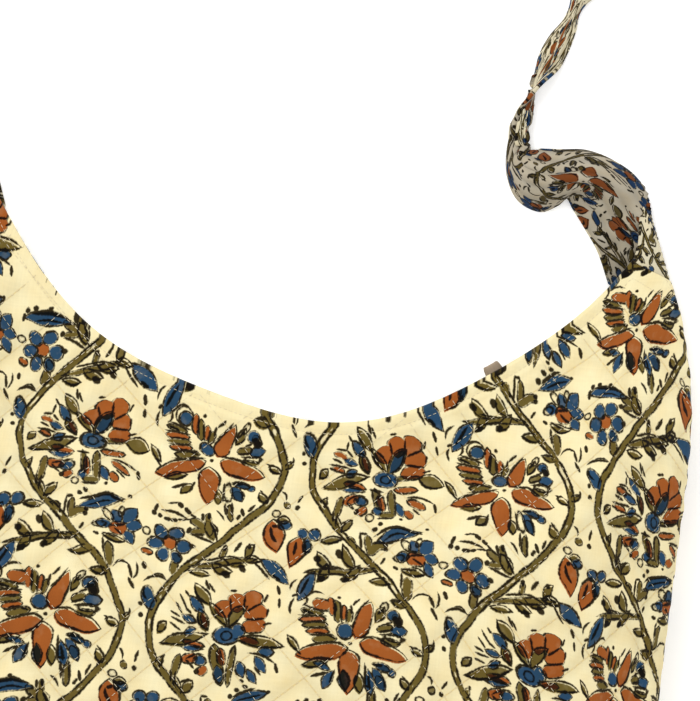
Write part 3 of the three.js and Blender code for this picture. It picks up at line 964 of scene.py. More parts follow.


# %% [markdown]
# The print is a block print of the traditional kind: vines that part and meet, and in each space
# between them a pair of large flowers with buds, leaves and curls, stamped in rust, indigo, olive and
# dark brown on cream. An image texture would be the usual way. Here a chart lists the
# marks, so the print stays sharp at any size and follows the flat cloth. Almost every mark is a petal: a
# lens, a blunt finger or a disc, and some are bent or tapered. Rust comes first.

# %% Chart of the print: rust
# In millimetres from the middle of a space between the vines: x, y, half length, half width, then the
# direction in degrees, and where they aren't 0, bend and taper
RUST_LEAVES = [(-9.6, 49.5, 9, 4.9, -82, 0, -0.25), (1, 43, 8.2, 4.4, 72, 0, 0.1)]
RUST_PETALS = [
    (15.3, -5.3, 13, 3.5, 22, 0, 0.2), (46.2, -2, 12, 4, -13, 0, -0.3),
    (29.7, -13, 10, 4.5, -88, 0, -0.35), (36.4, 11.8, 9.2, 3.5, 68, 0, -0.35),
]
RUST_MARKS = [
    (-31, 11.4, 4.2, 4, 112, 0, 0.25), (-25.2, 15.4, 4.8, 4.1, 100, 0, 0.25),
    (-18, 17, 5.2, 4.3, 78, 0, 0.15), (-15.8, 11.2, 5.6, 3.3, 18, 0, 0.25),
    (-16.4, 5.2, 6, 3.2, 16, 0, 0.15), (-46.5, -12.8, 4.4, 2.1, 15), (-40.2, -17.5, 3, 1.6, 40),
    (-17.1, -17.2, 2.7, 1.7, -35), (-13.7, -11.6, 4.9, 1.4, -25), (11.9, 11.1, 6, 1.3, 0),
    (14.4, 5.4, 5.5, 1.2, 5), (20.9, 17.6, 4.6, 1.6, 95), (27.2, 14.7, 3.4, 1.2, 85),
    (-53.2, 8.5, 3.4, 1.1, -20), (-53.8, 1.6, 2.9, 1, -20), (-40.2, 5.4, 3.2, 1.1, -68),
    (-44.6, -5.6, 5.6, 1.2, -9), (-19, -4.6, 6, 1.3, 4), (-31.2, -13, 4.4, 1.4, -77),
    (-12.4, -40.8, 4.8, 3, 0), (13.6, -45.2, 3.5, 2.9, -10),
    (3.4, -51, 2.6, 1.1, -20),
]
print(len(RUST_LEAVES + RUST_PETALS + RUST_MARKS), "rust marks")

# %% [markdown]
# Indigo prints the daisies, the discs in the flowers and the slim leaves round them. A disc is a mark
# with a round outline, where a lens runs out to points.

# %% Chart of the print: indigo
BLUE_LEAVES = [
    (-22.6, -28.8, 11.5, 2.9, 21, 0.6, 0.1), (-7.8, 32.6, 8.2, 3.3, -38), (8, 26.6, 8.6, 3.4, 60),
    (-44.3, 11.9, 4.8, 2, -42), (-48.1, 5.8, 4, 1.5, -18), (-47.2, 0.2, 3.2, 1.6, 25),
    (-24.4, 9, 6.6, 2.6, 57), (-45.2, -7.8, 5, 1.3, 0), (-7.2, -34.4, 4.4, 3.2, 50),
    (-4.6, -39.4, 4, 2.6, -8), (-6, -45, 4, 2.4, -55), (-13.6, -35, 3.8, 2.4, -60),
    (-19.2, -39.6, 3.8, 2.2, -4), (46.8, -9.1, 5, 1.6, -15), (43.9, -12.6, 3.6, 2.1, -45),
    (45.4, -15.6, 4.4, 2.6, -60), (53.2, 9, 4.2, 2.5, 10), (-21.8, -15.7, 3.6, 2, -65),
    (-33, -17.2, 2.6, 1.9, -75), (6.8, 46.4, 4.4, 2.2, 82),
]
BLUE_DISCS = [
    (-29.6, -0.2, 6, 4, 0), (15.4, 19.2, 3.6, 2.7, 10), (50.6, 16.2, 2.9, 2.5, 0),
    (51.6, -10.9, 1.8, 1.5, 0), (-41.2, -13.1, 3.1, 2, 10), (5.9, -72.5, 5.2, 2.9, -65),
    (27.8, 6.8, 3.7, 3, -20), (9.8, -39.9, 3.6, 3, -50), (16.9, -39.6, 3.6, 3, 35),
    (6.9, -45.8, 3.4, 2.9, 0), (20.6, -46.2, 3.4, 3, -20), (10.6, -51.2, 3.1, 2.7, 60),
    (17.6, -51.4, 2.9, 2.4, -40),
    (-4.6, 56.2, 2.7, 2.2, 0), (4.4, 52.8, 2.8, 2.6, 0), (10.4, 52.8, 2.9, 2.5, 30),
]
print(len(BLUE_LEAVES + BLUE_DISCS), "indigo marks")

# %% [markdown]
# Olive prints leaves and sprigs. The vines are olive as well, but a vine is one long curve, so it gets a
# formula later and no rows here.

# %% Chart of the print: olive
OLIVE_LEAVES = [
    (-50, -4.5, 11.4, 2.8, 17), (-42, 16.2, 6.2, 2.6, -46), (-34, 8, 6.6, 2.1, -46),
    (-41.2, 5, 5, 2.3, -62), (-25.6, 8.4, 7.2, 3, 57), (-7.4, 0.6, 6.2, 3.6, -14),
    (43.8, 15, 4.2, 2.2, 60), (35, -17.8, 4.4, 2.2, -80), (13.4, -10.3, 5.6, 1.9, 12),
    (19.1, -16.9, 3.8, 2.1, 45), (2.4, -1.2, 4.4, 1.4, -45), (-47.8, -26.8, 4, 1.9, 50),
    (-52.4, -26.9, 4.4, 1.6, 110), (-61.3, -1.2, 2.9, 1.8, 50), (-61.3, -16.8, 3.8, 1.5, 60),
    (-44.5, 26.4, 5, 1.6, -4), (45, 31, 6.2, 1.9, 5), (18.4, 50, 5.4, 1.7, 5),
    (53.8, 21.4, 4.2, 1.8, -10), (62.3, -0.7, 3.2, 1.5, -28), (-5.6, -83.3, 3, 1.4, 40),
    (57.5, -16.4, 3.4, 2, 120), (32.4, -37.4, 4.6, 2.9, 118),
    (15, 38.8, 5.4, 2.3, 140, 0.5), (26.4, 41.8, 5.8, 2.3, 125, 0.5), (16.4, 32.8, 4.8, 2.2, 65, -0.5),
    (29.8, 34.4, 5.4, 2.2, 45, -0.4), (-21.4, 40.2, 4.8, 2, 60, 0.4), (-19.4, 36.8, 4.8, 1.9, 0, 0.4),
    (-28, 33.6, 6, 2.2, -12, -0.4), (-34.4, 29.8, 5.4, 2.1, -22, -0.4),
    (-14, -47.5, 5.8, 1.8, -8), (-6, 58.2, 3, 1.8, 0),
]
OLIVE_MARKS = [
    (-18.6, 1.9, 6.4, 0.9, 10), (-33.2, -11, 5.6, 1.3, -77), (-26.2, -12.2, 6.6, 1.6, -86),
    (-28.4, -19.2, 4.2, 1.3, 8), (-52.8, -16.8, 5.8, 1.5, 75), (11.2, 14.5, 5.2, 1.1, -8),
    (13.1, 8.3, 5.6, 1.2, 4), (18, 2.5, 6, 1.6, 8), (23.8, 15.4, 5, 1.7, 96),
    (29.7, 13.2, 3.2, 1.2, 75), (46.6, 9.4, 3.8, 1.5, 15), (50, 3.1, 4.6, 1.3, 0),
    (52.6, 14, 3.3, 1.7, -60), (46.6, -9.2, 4, 1, -15), (45.4, -16, 3.4, 1.7, -60),
    (-44, -35.6, 3.6, 1.4, 100), (-36.5, -34.6, 4.6, 1.4, 95), (-33.8, -37, 4.2, 1.8, 38),
    (-30.9, -35.6, 3, 1.6, 10), (31.6, -33.6, 5.6, 1.6, 95), (27, -34.4, 4.6, 1.7, 145),
    (27, -38.2, 3.6, 1.1, 10), (42.5, -26, 4.6, 1.2, 95), (-15.9, -55, 5.6, 2, 96),
    (16.6, -56.4, 3.8, 1.9, 80), (18, -51.6, 2.4, 1.4, -40), (26, 36, 17.5, 1.2, 7),
    (-33, 33.8, 16, 1.2, 14), (-33.6, 38.6, 3, 1, 80), (-4, 67.2, 1.8, 1.3, 20),
    (7, 46.2, 3, 1.4, 82),
]
print(len(OLIVE_LEAVES + OLIVE_MARKS), "olive marks")

# %% [markdown]
# The dark block has the line work: veins, stamens, curls and dots, and a few hollow shapes that are only
# outlines. The outlines of petals and leaves need no rows, because they follow from the dyes' own marks.

# %% Chart of the print: dark brown
DARK_LINES = [
    (-21.4, 15.2, 4.4, 0.5, 90), (-28, 14, 3, 0.5, -75), (-16.8, 13.8, 3.6, 0.5, 33),
    (-15.8, 8.5, 4.6, 0.5, 6), (-53.2, 3.3, 5, 0.5, -8), (-54.6, 5.9, 2.6, 0.5, -25),
    (-53, 11.2, 2.6, 0.5, -4), (-48.6, 9.6, 2.2, 0.5, -35), (-52.6, 0.2, 4, 0.45, -12),
    (-50.4, 13.2, 2, 0.5, 80), (-11.8, -8.4, 6.6, 0.55, -10, 1.5), (-4.6, -12.6, 2.4, 0.8, -80),
    (-13.6, -15, 2.4, 0.5, -35), (-24.2, -15.4, 3.8, 0.5, 90), (-44, -11, 5, 0.5, 18, 1.5),
    (-46.4, -15.6, 3, 0.6, -40), (-43, -18.4, 1.6, 1.1, 60), (-33.8, -6.6, 3.4, 0.6, -8),
    (-29, -20.9, 4, 0.5, 8), (12, 12.8, 6.4, 0.5, -2), (13, 9.9, 5.6, 0.5, 2), (14, 6.9, 5.6, 0.5, 5),
    (15.4, 4, 5.4, 0.5, 7), (19.4, 0.6, 7.6, 0.6, 10), (12.6, 15.9, 6, 0.5, -12),
    (18, 4.6, 5.6, 0.5, -8, 2), (22.4, 16.4, 4.4, 0.5, 96), (25.6, 14.6, 4.2, 0.6, 96),
    (28.4, 13.6, 3.4, 0.5, 82), (31, 16.4, 2.4, 0.5, 85), (8.2, 19.6, 3.2, 0.5, 82, -3),
    (12.5, 24.2, 4.2, 0.5, 16, 3), (35.6, 17.6, 5.6, 0.5, 52), (38.2, 4.3, 3.6, 0.55, -2, 1),
    (49.6, 6.4, 5, 0.5, 5), (46.8, 8, 3.6, 0.5, 15), (54.8, 4.4, 2, 0.5, 75, -2),
    (37.9, -13.8, 5.2, 0.6, -85), (39.6, -18.4, 2, 0.5, -10), (47.6, -14.6, 3, 0.5, -75, 2),
    (15.9, -14.7, 4.4, 0.8, 22), (22.4, -14.8, 3.6, 0.6, 72), (44, -8.2, 3, 0.6, 0),
    (4.8, -4, 3, 0.5, -42), (-24, -25.8, 10.4, 0.9, 15, 2.4), (-14, -26.4, 4, 0.6, -18),
    (-22.8, -29, 7, 0.4, 21, 3), (5.3, -28.2, 2.5, 0.8, 70), (12.2, -32.5, 2.1, 0.9, 0),
    (15.6, -32.5, 1.9, 0.8, 5), (20.6, -31.9, 3.2, 0.5, 0), (15.3, -28.7, 6.8, 0.6, -12, 2),
    (14, -24.4, 3, 0.4, 6), (17.8, -25.3, 2, 1, -25), (21.9, -27.5, 2.1, 1, -40),
    (24.4, -30, 1.8, 0.6, -45), (28.8, -30.4, 2.4, 0.8, 95), (29, -41, 5.8, 0.6, -12),
    (34.4, -37, 4.6, 0.6, -65), (31.9, -29.4, 2, 0.9, 95), (-40, -33.8, 5, 0.6, 92),
    (-38.6, -29.3, 1.8, 0.6, 5), (-46.8, -33, 1.8, 0.6, 70, 2), (-55.2, -22, 2.8, 0.6, 95),
    (-53.2, -22.6, 2.6, 0.5, 85), (-48.2, -23.6, 2.6, 0.5, 25), (-29.6, -42.8, 2, 0.6, 55),
    (-58.7, -12.5, 1, 0.5, 80), (37.8, -28, 3.4, 0.5, -52, 1), (40, -23.8, 3.8, 0.6, -86),
    (43.6, -24, 4, 0.6, 98), (47, -28, 1.8, 0.7, 50), (49, -25.4, 2.2, 0.9, 108),
    (53.2, -22.4, 2.8, 0.6, 60), (58.4, -13.2, 2.6, 0.5, -50), (52.6, 23.6, 3.4, 0.5, 4, 1),
    (61, 2.4, 2, 0.5, 10, 2), (-10.4, 50.6, 4.4, 0.8, -68, -1), (-9.4, 55.6, 1.4, 0.9, 20),
    (4.8, 40.6, 5.6, 0.6, 52, -1.5), (0.6, 44.6, 3.6, 0.7, 80), (-14.6, 32.4, 5.6, 0.6, -50),
    (-7.6, 29.4, 2.6, 0.8, -30), (-6.2, 23.4, 2.4, 0.9, -75), (-5, 17.4, 2.2, 0.7, -80),
    (0.8, 17, 3.6, 0.6, 88, 1.5), (7.4, 27, 5, 0.7, 60), (0.6, 28, 3.6, 0.5, 60, 2),
    (2, 22, 1.4, 0.6, 30), (-19, -51.2, 3.8, 0.6, 92), (-22.4, -45.4, 1.6, 0.7, -20),
    (-16, -45.4, 3.6, 0.5, -6), (-9, -57.3, 4.6, 0.5, 6, 5), (-4.4, -61, 3.2, 0.7, -72),
    (-1, -60.6, 3.8, 0.5, 80, -2), (-3.2, -66.6, 3, 0.7, -55), (2.2, -57.5, 1.8, 0.9, 100),
    (7.6, -62.4, 5.6, 0.7, 8, 2.6), (9.6, -61.2, 3.4, 0.4, -8, 3), (3.2, -70.6, 3, 0.6, -70, -2),
    (-4.8, 72.4, 2.4, 0.5, -60, 2), (2.4, 71, 2.6, 0.6, 62), (33.6, 38.6, 4, 0.5, -16),
    (21, 37.8, 5, 0.5, -2), (22, 34.4, 4.6, 0.6, 10), (-27, 42, 3.4, 0.7, 55), (-30, 33.2, 8, 0.5, 14),
    (-38, 35.6, 5, 0.5, 12), (-39.6, 21.8, 2.6, 0.7, -65), (-12, -39, 3.6, 0.6, 12),
    (-11.4, -42.4, 3, 0.5, -30), (52.6, 13.6, 2.8, 1.7, -40), (-3.2, -80.4, 2, 0.5, 60, -2),
    (60.2, 2.2, 1.6, 0.5, -60, 2), (48.6, 12.4, 2.2, 0.5, 20), (44.6, 17.6, 3, 0.5, 52),
    (33.6, 20.4, 2.6, 0.5, 48), (9.4, 14.4, 3, 0.5, -14), (-37.6, 20.6, 2.6, 0.5, -60),
    (-27.6, 21, 1.8, 0.5, 10), (-11.8, 18.6, 2, 0.5, 70), (-10.6, 12.4, 1.8, 0.5, 85),
    (-9.8, 6.6, 2.2, 0.5, 20), (-56.4, 1.6, 1.8, 0.5, -20), (-49.4, 16.4, 1.8, 0.5, -50),
]
DARK_DOTS = [
    (4.4, -31.2, 1.3, 1.2, 0), (7.8, -31.6, 1.3, 1.1, 0), (22.8, -37.8, 1.4, 1.2, 60),
    (2.2, -75.6, 1, 1, 0), (2.5, -81, 1.2, 1.1, 0), (30.7, 1.3, 0.9, 0.8, 0),
    (12.5, 40.6, 1.9, 1.4, 150), (22.8, 43.8, 2.2, 1.7, 130), (15.7, 31.4, 2, 1.5, 20),
    (26.6, 32.4, 2.1, 1.6, 20), (-33.4, 41.2, 1.5, 1.1, 80), (-20.6, 43.6, 1.4, 1.1, 60),
    (-24, 31.8, 2.4, 1.5, -40), (-31.6, 28.2, 2.2, 1.5, -40), (-28.6, -34.6, 1.2, 1.1, 0),
    (-28.6, -36.9, 1.2, 1, 0), (24.4, -45.4, 1.5, 1.1, 0), (1.2, 66.2, 1.2, 1.1, 0),
    (-33.8, -26.8, 1.3, 1.1, 0), (-31, -24.3, 1.2, 1.1, 0), (25, 22.2, 0.9, 0.8, 0),
    (-8, -24.4, 0.9, 0.8, 0), (52, -34.4, 1.3, 1, 30), (-21, -20.6, 0.9, 0.7, 0),
]
HOLLOW = [
    (-17.6, -34.4, 3.4, 1.8, -50), (-21.2, -40.2, 3, 1.6, 10), (-11.3, -32.6, 2.4, 1.5, 80),
    (-36.4, -20.8, 1.9, 1.7, 80), (51.4, 5.4, 4.4, 1.7, 0), (40.4, -14, 5.4, 2.2, -80),
    (46.2, 19.4, 2.6, 1.6, 50), (-9.4, 62, 2, 1.7, 0), (2, -41, 2, 1.6, 0), (14.6, 20, 4.6, 4, 0),
    (-29.6, -0.2, 2.6, 2.2, 0),
]
CHART = {
    "rust_leaves": RUST_LEAVES,
    "rust_petals": RUST_PETALS,
    "rust_marks": RUST_MARKS,
    "blue_leaves": BLUE_LEAVES,
    "blue_discs": BLUE_DISCS,
    "olive_leaves": OLIVE_LEAVES,
    "olive_marks": OLIVE_MARKS,
    "dark_lines": DARK_LINES,
    "dark_dots": DARK_DOTS,
    "hollow": HOLLOW,
}
print(sum(len(rows) for rows in CHART.values()), "marks in the chart")

# %% [markdown]
# The spaces between the vines lie like bricks, in two sets that stand half a repeat apart. In the photo
# the second set differs in some marks. A second whole chart would repeat most of the first, so two short
# lists say what the second set leaves out and what it has instead.

# %% Second set of spaces
# Marks whose middles lie in these boxes are left out: least x and y, greatest x and y
LEFT_OUT = [
    (-35, -31, -10, -23), (2, -34, 26, -22), (-19, -19, -8, -9), (14, 18, 17, 21), (18, -18, 20, -16),
    (39, -15, 42, -13), (14, -6, 17, -4), (-20, -6, -6, 3), (-38, -22, -23, -6), (-57, -1, -50, 14),
    (-27, 8, -23, 10),
]
SECOND_SET = {
    "rust_petals": [(16.6, -4.4, 12.6, 3.7, 11, 0, 0.15)],
    "rust_marks": [
        (15.6, 18.2, 5, 2.6, -8), (-18.6, -2.2, 4.8, 1.5, -8), (-31.2, -10.4, 4.2, 1.6, -80),
    ],
    "blue_discs": [(-23.6, 2.4, 3.2, 3, 0)],
    "olive_leaves": [(-13.6, -3, 11.4, 2.7, -2), (-25.4, 9, 6.8, 2.6, 52, 0.5)],
    "olive_marks": [(-33, -14, 9.5, 2.3, -80), (-26.8, -14.5, 9, 1.2, -100)],
    "blue_leaves": [
        (-32.4, -18.4, 3.8, 2.2, -80),
        (-17.4, -27.6, 9.4, 2.7, 20, 0.2, 0.1), (15, -30.6, 12, 2.7, -3, 0.5), (-16.4, -18, 3.2, 1.7, -50),
        (-12.6, -12.4, 4, 2.2, -48), (-10.2, -6.6, 4, 2, 5), (20, -16.6, 5, 2.4, 60),
        (17, -10.5, 4, 1.4, -15), (40.2, -16.6, 5.6, 2.3, -78), (28, -16.5, 4.5, 2.4, -80),
    ],
    "dark_lines": [
        (-20.4, -25.4, 6, 0.7, 30, 0.8), (-17, -27.8, 6.4, 0.4, 20, 1), (15, -28.4, 10, 0.8, -3, 2),
        (16, -31.2, 7, 0.4, -3, 3), (2.6, -31.4, 2, 0.8, 70), (-13.8, -15.2, 2.4, 0.5, -45),
        (15.4, 15.4, 4.6, 0.5, -8), (40, -16.4, 3.6, 0.6, -78), (-51.4, 13, 3.6, 0.5, -55),
        (-53.8, 10, 3, 0.5, -50), (-55.4, 6.6, 2.6, 0.5, -15), (-53.6, 4, 3.6, 0.5, -10),
        (-54.6, 1, 3, 0.5, -20),
    ],
    "dark_dots": [
        (-26.4, -28.2, 1.3, 1.1, 0), (-23.4, -24.8, 1.2, 1, 0), (-19.6, -22.8, 1.2, 0.9, 0),
        (4.8, -28.4, 1.3, 1, 40), (9, -27.2, 1.3, 1, 30), (16, -27, 1.2, 0.9, 0),
    ],
}
print(sum(len(rows) for rows in SECOND_SET.values()), "marks of its own in the second set")

# %% [markdown]
# To know whether a point lies in a mark, a shader needs its distance to the mark's outline. Each mark
# gives a simple number that is below 0 inside it and grows outside, and the least number over a list of
# marks belongs to the nearest one. Three marks are worked out at a time, one in each part of a vector.

# %% Distance to marks, three at a time
LENS, FINGER, DISC = "lens", "finger", "disc"
LEAST_NARROWING = 0.3


def mark_distances(tree, place, rows, kind, shift):
    """Rough distances in millimetres to three marks, below 0 inside, one in each part of a vector.

    In a mark's own directions, with u along it and v across it in half lengths and half widths, the
    value is |v + bend u u| / (1 + taper u) plus the square of u for a lens or its fourth power for a
    finger, or v v + u u for a disc. It is 1 on the outline.
    """
    x, y, long, wide, direction, bend, taper = np.array(rows, dtype=float).T
    x, y = x + shift[0], y + shift[1]
    cos, sin = np.cos(np.radians(direction)), np.sin(np.radians(direction))
    px, py = place
    u = triple(tree, "MULTIPLY_ADD", px, cos / long, -(x * cos + y * sin) / long)
    u = triple(tree, "MULTIPLY_ADD", py, sin / long, u)
    v = triple(tree, "MULTIPLY_ADD", px, -sin / wide, (x * sin - y * cos) / wide)
    v = triple(tree, "MULTIPLY_ADD", py, cos / wide, v)
    along = triple(tree, "MULTIPLY", u, u)
    if kind == DISC:
        value = triple(tree, "MULTIPLY_ADD", v, v, along)
        return triple(tree, "MULTIPLY_ADD", value, wide / 2, -wide / 2)
    if bend.any():
        v = triple(tree, "MULTIPLY_ADD", along, bend, v)
    across = triple(tree, "ABSOLUTE", v)
    if taper.any():
        narrowing = triple(tree, "MULTIPLY_ADD", u, taper, (1, 1, 1))
        narrowing = triple(tree, "MAXIMUM", narrowing, (LEAST_NARROWING,) * 3)
        across = triple(tree, "DIVIDE", across, narrowing)
    if kind == FINGER:
        value = triple(tree, "MULTIPLY_ADD", along, along, across)
    else:
        value = triple(tree, "ADD", along, across)
    return triple(tree, "MULTIPLY_ADD", value, wide, -wide)


def threes(rows):
    """The rows in sets of three, zeros filled in, bent ones together and the last set filled up."""
    rows = sorted(((*row, 0, 0)[:7] for row in rows), key=lambda row: (row[5] != 0, row[6] != 0))
    rows = rows + rows[-1:] * (-len(rows) % 3)
    return [rows[i : i + 3] for i in range(0, len(rows), 3)]


FAR = 50


def least(tree, vectors):
    """The least of all the numbers in the vectors, or a far distance where there are none."""
    if not vectors:
        return FAR
    found = vectors[0]
    for vector in vectors[1:]:
        found = triple(tree, "MINIMUM", found, vector)
    x, y, z = parts(tree, found)
    return number(tree, "MINIMUM", number(tree, "MINIMUM", x, y), z)


def nearest(tree, place, tables, outlines=False, shift=(0, 0)):
    """Distance to the nearest mark of the tables, or to the nearest outline of one."""
    marks = []
    for rows, kind in tables:
        marks += [mark_distances(tree, place, three, kind, shift) for three in threes(rows)]
    if outlines:
        marks = [triple(tree, "ABSOLUTE", mark) for mark in marks]
    return least(tree, marks)


# %% [markdown]
# A printer sets the same blocks down again and again. For a shader that means folding the plane: every
# place on the cloth is wrapped back into one space between the vines, where the chart lies. The vines
# swing as cosines, so one set's spaces are wide where the other's are narrow. The same sums are needed
# twice: as arrays, to sort the faces into fields, and as nodes, for the colours.

# %% Places in the print, as numbers and as nodes
REPEAT_X, REPEAT_Y = 148, 170
PRINT_START = (83.5, 87.3)
PRINT_LEAN = 0.07  # the printer's rows drift sideways as they go down the cloth
VINE_MIDDLE, VINE_SWING = 37, 30
HAND_WARP, WARP_SCALE = 1.6, 0.055  # how far the hand wobbles, and bumps per millimetre


def print_place(across, up):
    """Place in the nearest space between the vines, and whether that space is of the second set.

    Spaces repeat in two sets, the second half a repeat along and half a repeat up. A point is in a space
    of the first set where it is nearer to its middle line than the vine, which swings as a cosine.
    """
    x = across - PRINT_START[0] + PRINT_LEAN * (up - PRINT_START[1])
    y = up - PRINT_START[1]
    first_x = (x + REPEAT_X / 2) % REPEAT_X - REPEAT_X / 2
    first_y = (y + REPEAT_Y / 2) % REPEAT_Y - REPEAT_Y / 2
    inside = np.abs(first_x) < VINE_MIDDLE + VINE_SWING * np.cos(2 * np.pi * first_y / REPEAT_Y)
    place_x = np.where(inside, first_x, x % REPEAT_X - REPEAT_X / 2)
    place_y = np.where(inside, first_y, y % REPEAT_Y - REPEAT_Y / 2)
    return place_x, place_y, ~inside


def print_cell(tree, cloth):
    """The same place as nodes, with the wobble of a hand print, and the distance to the nearest vine."""
    warp = noise(tree, cloth, WARP_SCALE, 1, "Color")
    warp = triple(tree, "MULTIPLY_ADD", warp, (HAND_WARP * 2,) * 3, (-HAND_WARP,) * 3)
    x, y, _ = parts(tree, triple(tree, "ADD", cloth, warp))
    x = number(tree, "SUBTRACT", x, PRINT_START[0] + PRINT_LEAN * PRINT_START[1])
    x = number(tree, "MULTIPLY_ADD", y, PRINT_LEAN, x)
    y = number(tree, "SUBTRACT", y, PRINT_START[1])
    half_x, half_y = REPEAT_X / 2, REPEAT_Y / 2
    first_x = number(tree, "WRAP", x, half_x, -half_x)
    first_y = number(tree, "WRAP", y, half_y, -half_y)
    other_x = number(tree, "SUBTRACT", number(tree, "WRAP", x, REPEAT_X, 0), half_x)
    other_y = number(tree, "SUBTRACT", number(tree, "WRAP", y, REPEAT_Y, 0), half_y)
    wave = number(tree, "COSINE", number(tree, "MULTIPLY", first_y, 2 * math.pi / REPEAT_Y))
    vine = number(tree, "MULTIPLY_ADD", wave, VINE_SWING, VINE_MIDDLE)
    past = number(tree, "SUBTRACT", number(tree, "ABSOLUTE", first_x), vine)
    outside = number(tree, "GREATER_THAN", past, 0)
    inside = number(tree, "SUBTRACT", 1, outside)
    px = number(tree, "MULTIPLY_ADD", outside, other_x, number(tree, "MULTIPLY", inside, first_x))
    py = number(tree, "MULTIPLY_ADD", outside, other_y, number(tree, "MULTIPLY", inside, first_y))
    steepness = (2 * math.pi / REPEAT_Y * VINE_SWING) ** 2
    slope = number(tree, "MULTIPLY_ADD", number(tree, "MULTIPLY", wave, wave), -steepness, 1 + steepness)
    off = number(tree, "MULTIPLY", number(tree, "ABSOLUTE", past), number(tree, "INVERSE_SQRT", slope))
    return px, py, off


print("one repeat is", REPEAT_X, "by", REPEAT_Y, "mm")

# %% [markdown]
# A shader works through its whole chart at every point that it shades, so a chart of over three hundred
# marks is slow, though no point is near more than a few of them. So the space between the vines is
# parted into six fields, with six more for the second set of spaces, which differ in some marks. Each
# face of the cloth belongs to the field that it lies in, and each field has a print group of its own,
# with only the marks that come near its faces.

# %% Fields of the print
FIELD_LEVELS = (-22, 22)
FIELD_SPLIT = -2
FIELDS_PER_SET = 6
FIELDS = range(2 * FIELDS_PER_SET)
FACE_REACH = 4  # from a face's middle to its corners, with the hand's wobble
MARK_REACH = 4  # how far past a mark its own outline or wobble goes
SAMPLE_STEP = 1.5


def field_of(across, up):
    """Number of the field: six to each set of spaces, two to each level, the left one first."""
    px, py, second = print_place(across, up)
    return FIELDS_PER_SET * second + 2 * np.digitize(py, FIELD_LEVELS) + (px > FIELD_SPLIT)


sample_steps = np.arange(0, REPEAT_X, SAMPLE_STEP), np.arange(0, REPEAT_Y, SAMPLE_STEP)
sample_across, sample_up = np.meshgrid(*sample_steps)
sample_x, sample_y, _ = print_place(sample_across, sample_up)


def near_field(field):
    """Which of the sample places lie on or close to a face of the field."""
    steps = (-FACE_REACH, 0, FACE_REACH)
    around = [field_of(sample_across + dx, sample_up + dy) == field for dx in steps for dy in steps]
    return np.any(around, axis=0)


def rows_near(rows, close):
    """The rows with a close sample place in the box round their mark."""
    kept = []
    for row in rows:
        x, y, long, wide, direction, bend, _ = (*row, 0, 0)[:7]
        cos, sin = math.cos(math.radians(direction)), math.sin(math.radians(direction))
        along = (sample_x - x) * cos + (sample_y - y) * sin
        aside = (sample_y - y) * cos - (sample_x - x) * sin
        in_box = np.abs(along) < long + MARK_REACH
        in_box &= np.abs(aside) < wide * (1 + abs(bend)) + MARK_REACH
        if np.any(in_box & close):
            kept.append(row)
    return kept


def left_out(row):
    """Whether the second set of spaces leaves out this mark."""
    return any(x0 < row[0] < x1 and y0 < row[1] < y1 for x0, y0, x1, y1 in LEFT_OUT)


def field_chart(field):
    """The chart's tables with only the marks that come near a field."""
    close = near_field(field)
    tables = {}
    for name, rows in CHART.items():
        if field >= FIELDS_PER_SET:
            rows = [row for row in rows if not left_out(row)] + SECOND_SET.get(name, [])
        tables[name] = rows_near(rows, close)
    return tables


print(len(FIELDS), "fields,", sample_x.size, "sample places")

# %% [markdown]
# Each dye is a stamp of its own. Its cover is 1 inside its marks and falls off over half a millimetre,
# along an edge that noise makes rough, as dye creeps along threads. Dyes are clear, so each multiplies
# what is under it, and two of them are darker together. The dark block comes last, with its lines, and
# with outlines that fall a little beside the petals. Slow noise wears it thin in places.

# %% The print as node groups
MISPRINT = (0.4, 0.9)  # the dark block's outlines fall a little beside the dyes
OUTLINE_WIDTH = 1.1
RIM_OUT, RIM_WIDTH = 0.3, 0.9
LINE_GAIN = 0.15  # how far the dark lines bled past their chart
VINE_HALF_WIDTH = 1.5
VINE_EDGE = 0.45
EDGE_SOFTNESS = 0.55
MOTTLE = (0.05, 0.17, 0.4)  # how far the bare cloth's red, green and blue go up and down
EDGE_ROUGHNESS = 0.8
# Bumps per millimetre and octaves: of rough edges, of how well the blocks printed, and of stains
EDGE_GRAIN, CLOUDS, STAINS = (0.75, 2), (0.12, 3), (0.08, 3)
WEAR, LEAST_WEAR, MOST_WEAR = (-1.6, 0.8), -0.3, 0.6  # how clouds thin the dark outlines
VINE_CORE, CORE_LOSS = (-7, 4.2), 0.85  # where clouds leave the vine's core pale, and how pale
BLUE_OVER_OLIVE = 0.55  # what indigo takes from the olive under it
DYE_BODY = (-0.35, 1.2)  # how clouds thin the dyes
# What each dye leaves of the light that the bare cloth sends back
RUST_TINT = (0.385, 0.12, 0.034)
BLUE_TINT = (0.022, 0.08, 0.27)
OLIVE_TINT = (0.155, 0.126, 0.042)
DARK_TINT = (0.03, 0.023, 0.01)


def spread(tree, value):
    """A vector with the same number three times."""
    node = tree.nodes.new("ShaderNodeCombineXYZ")
    for socket in node.inputs:
        link(tree, socket, value)
    return node.outputs[0]


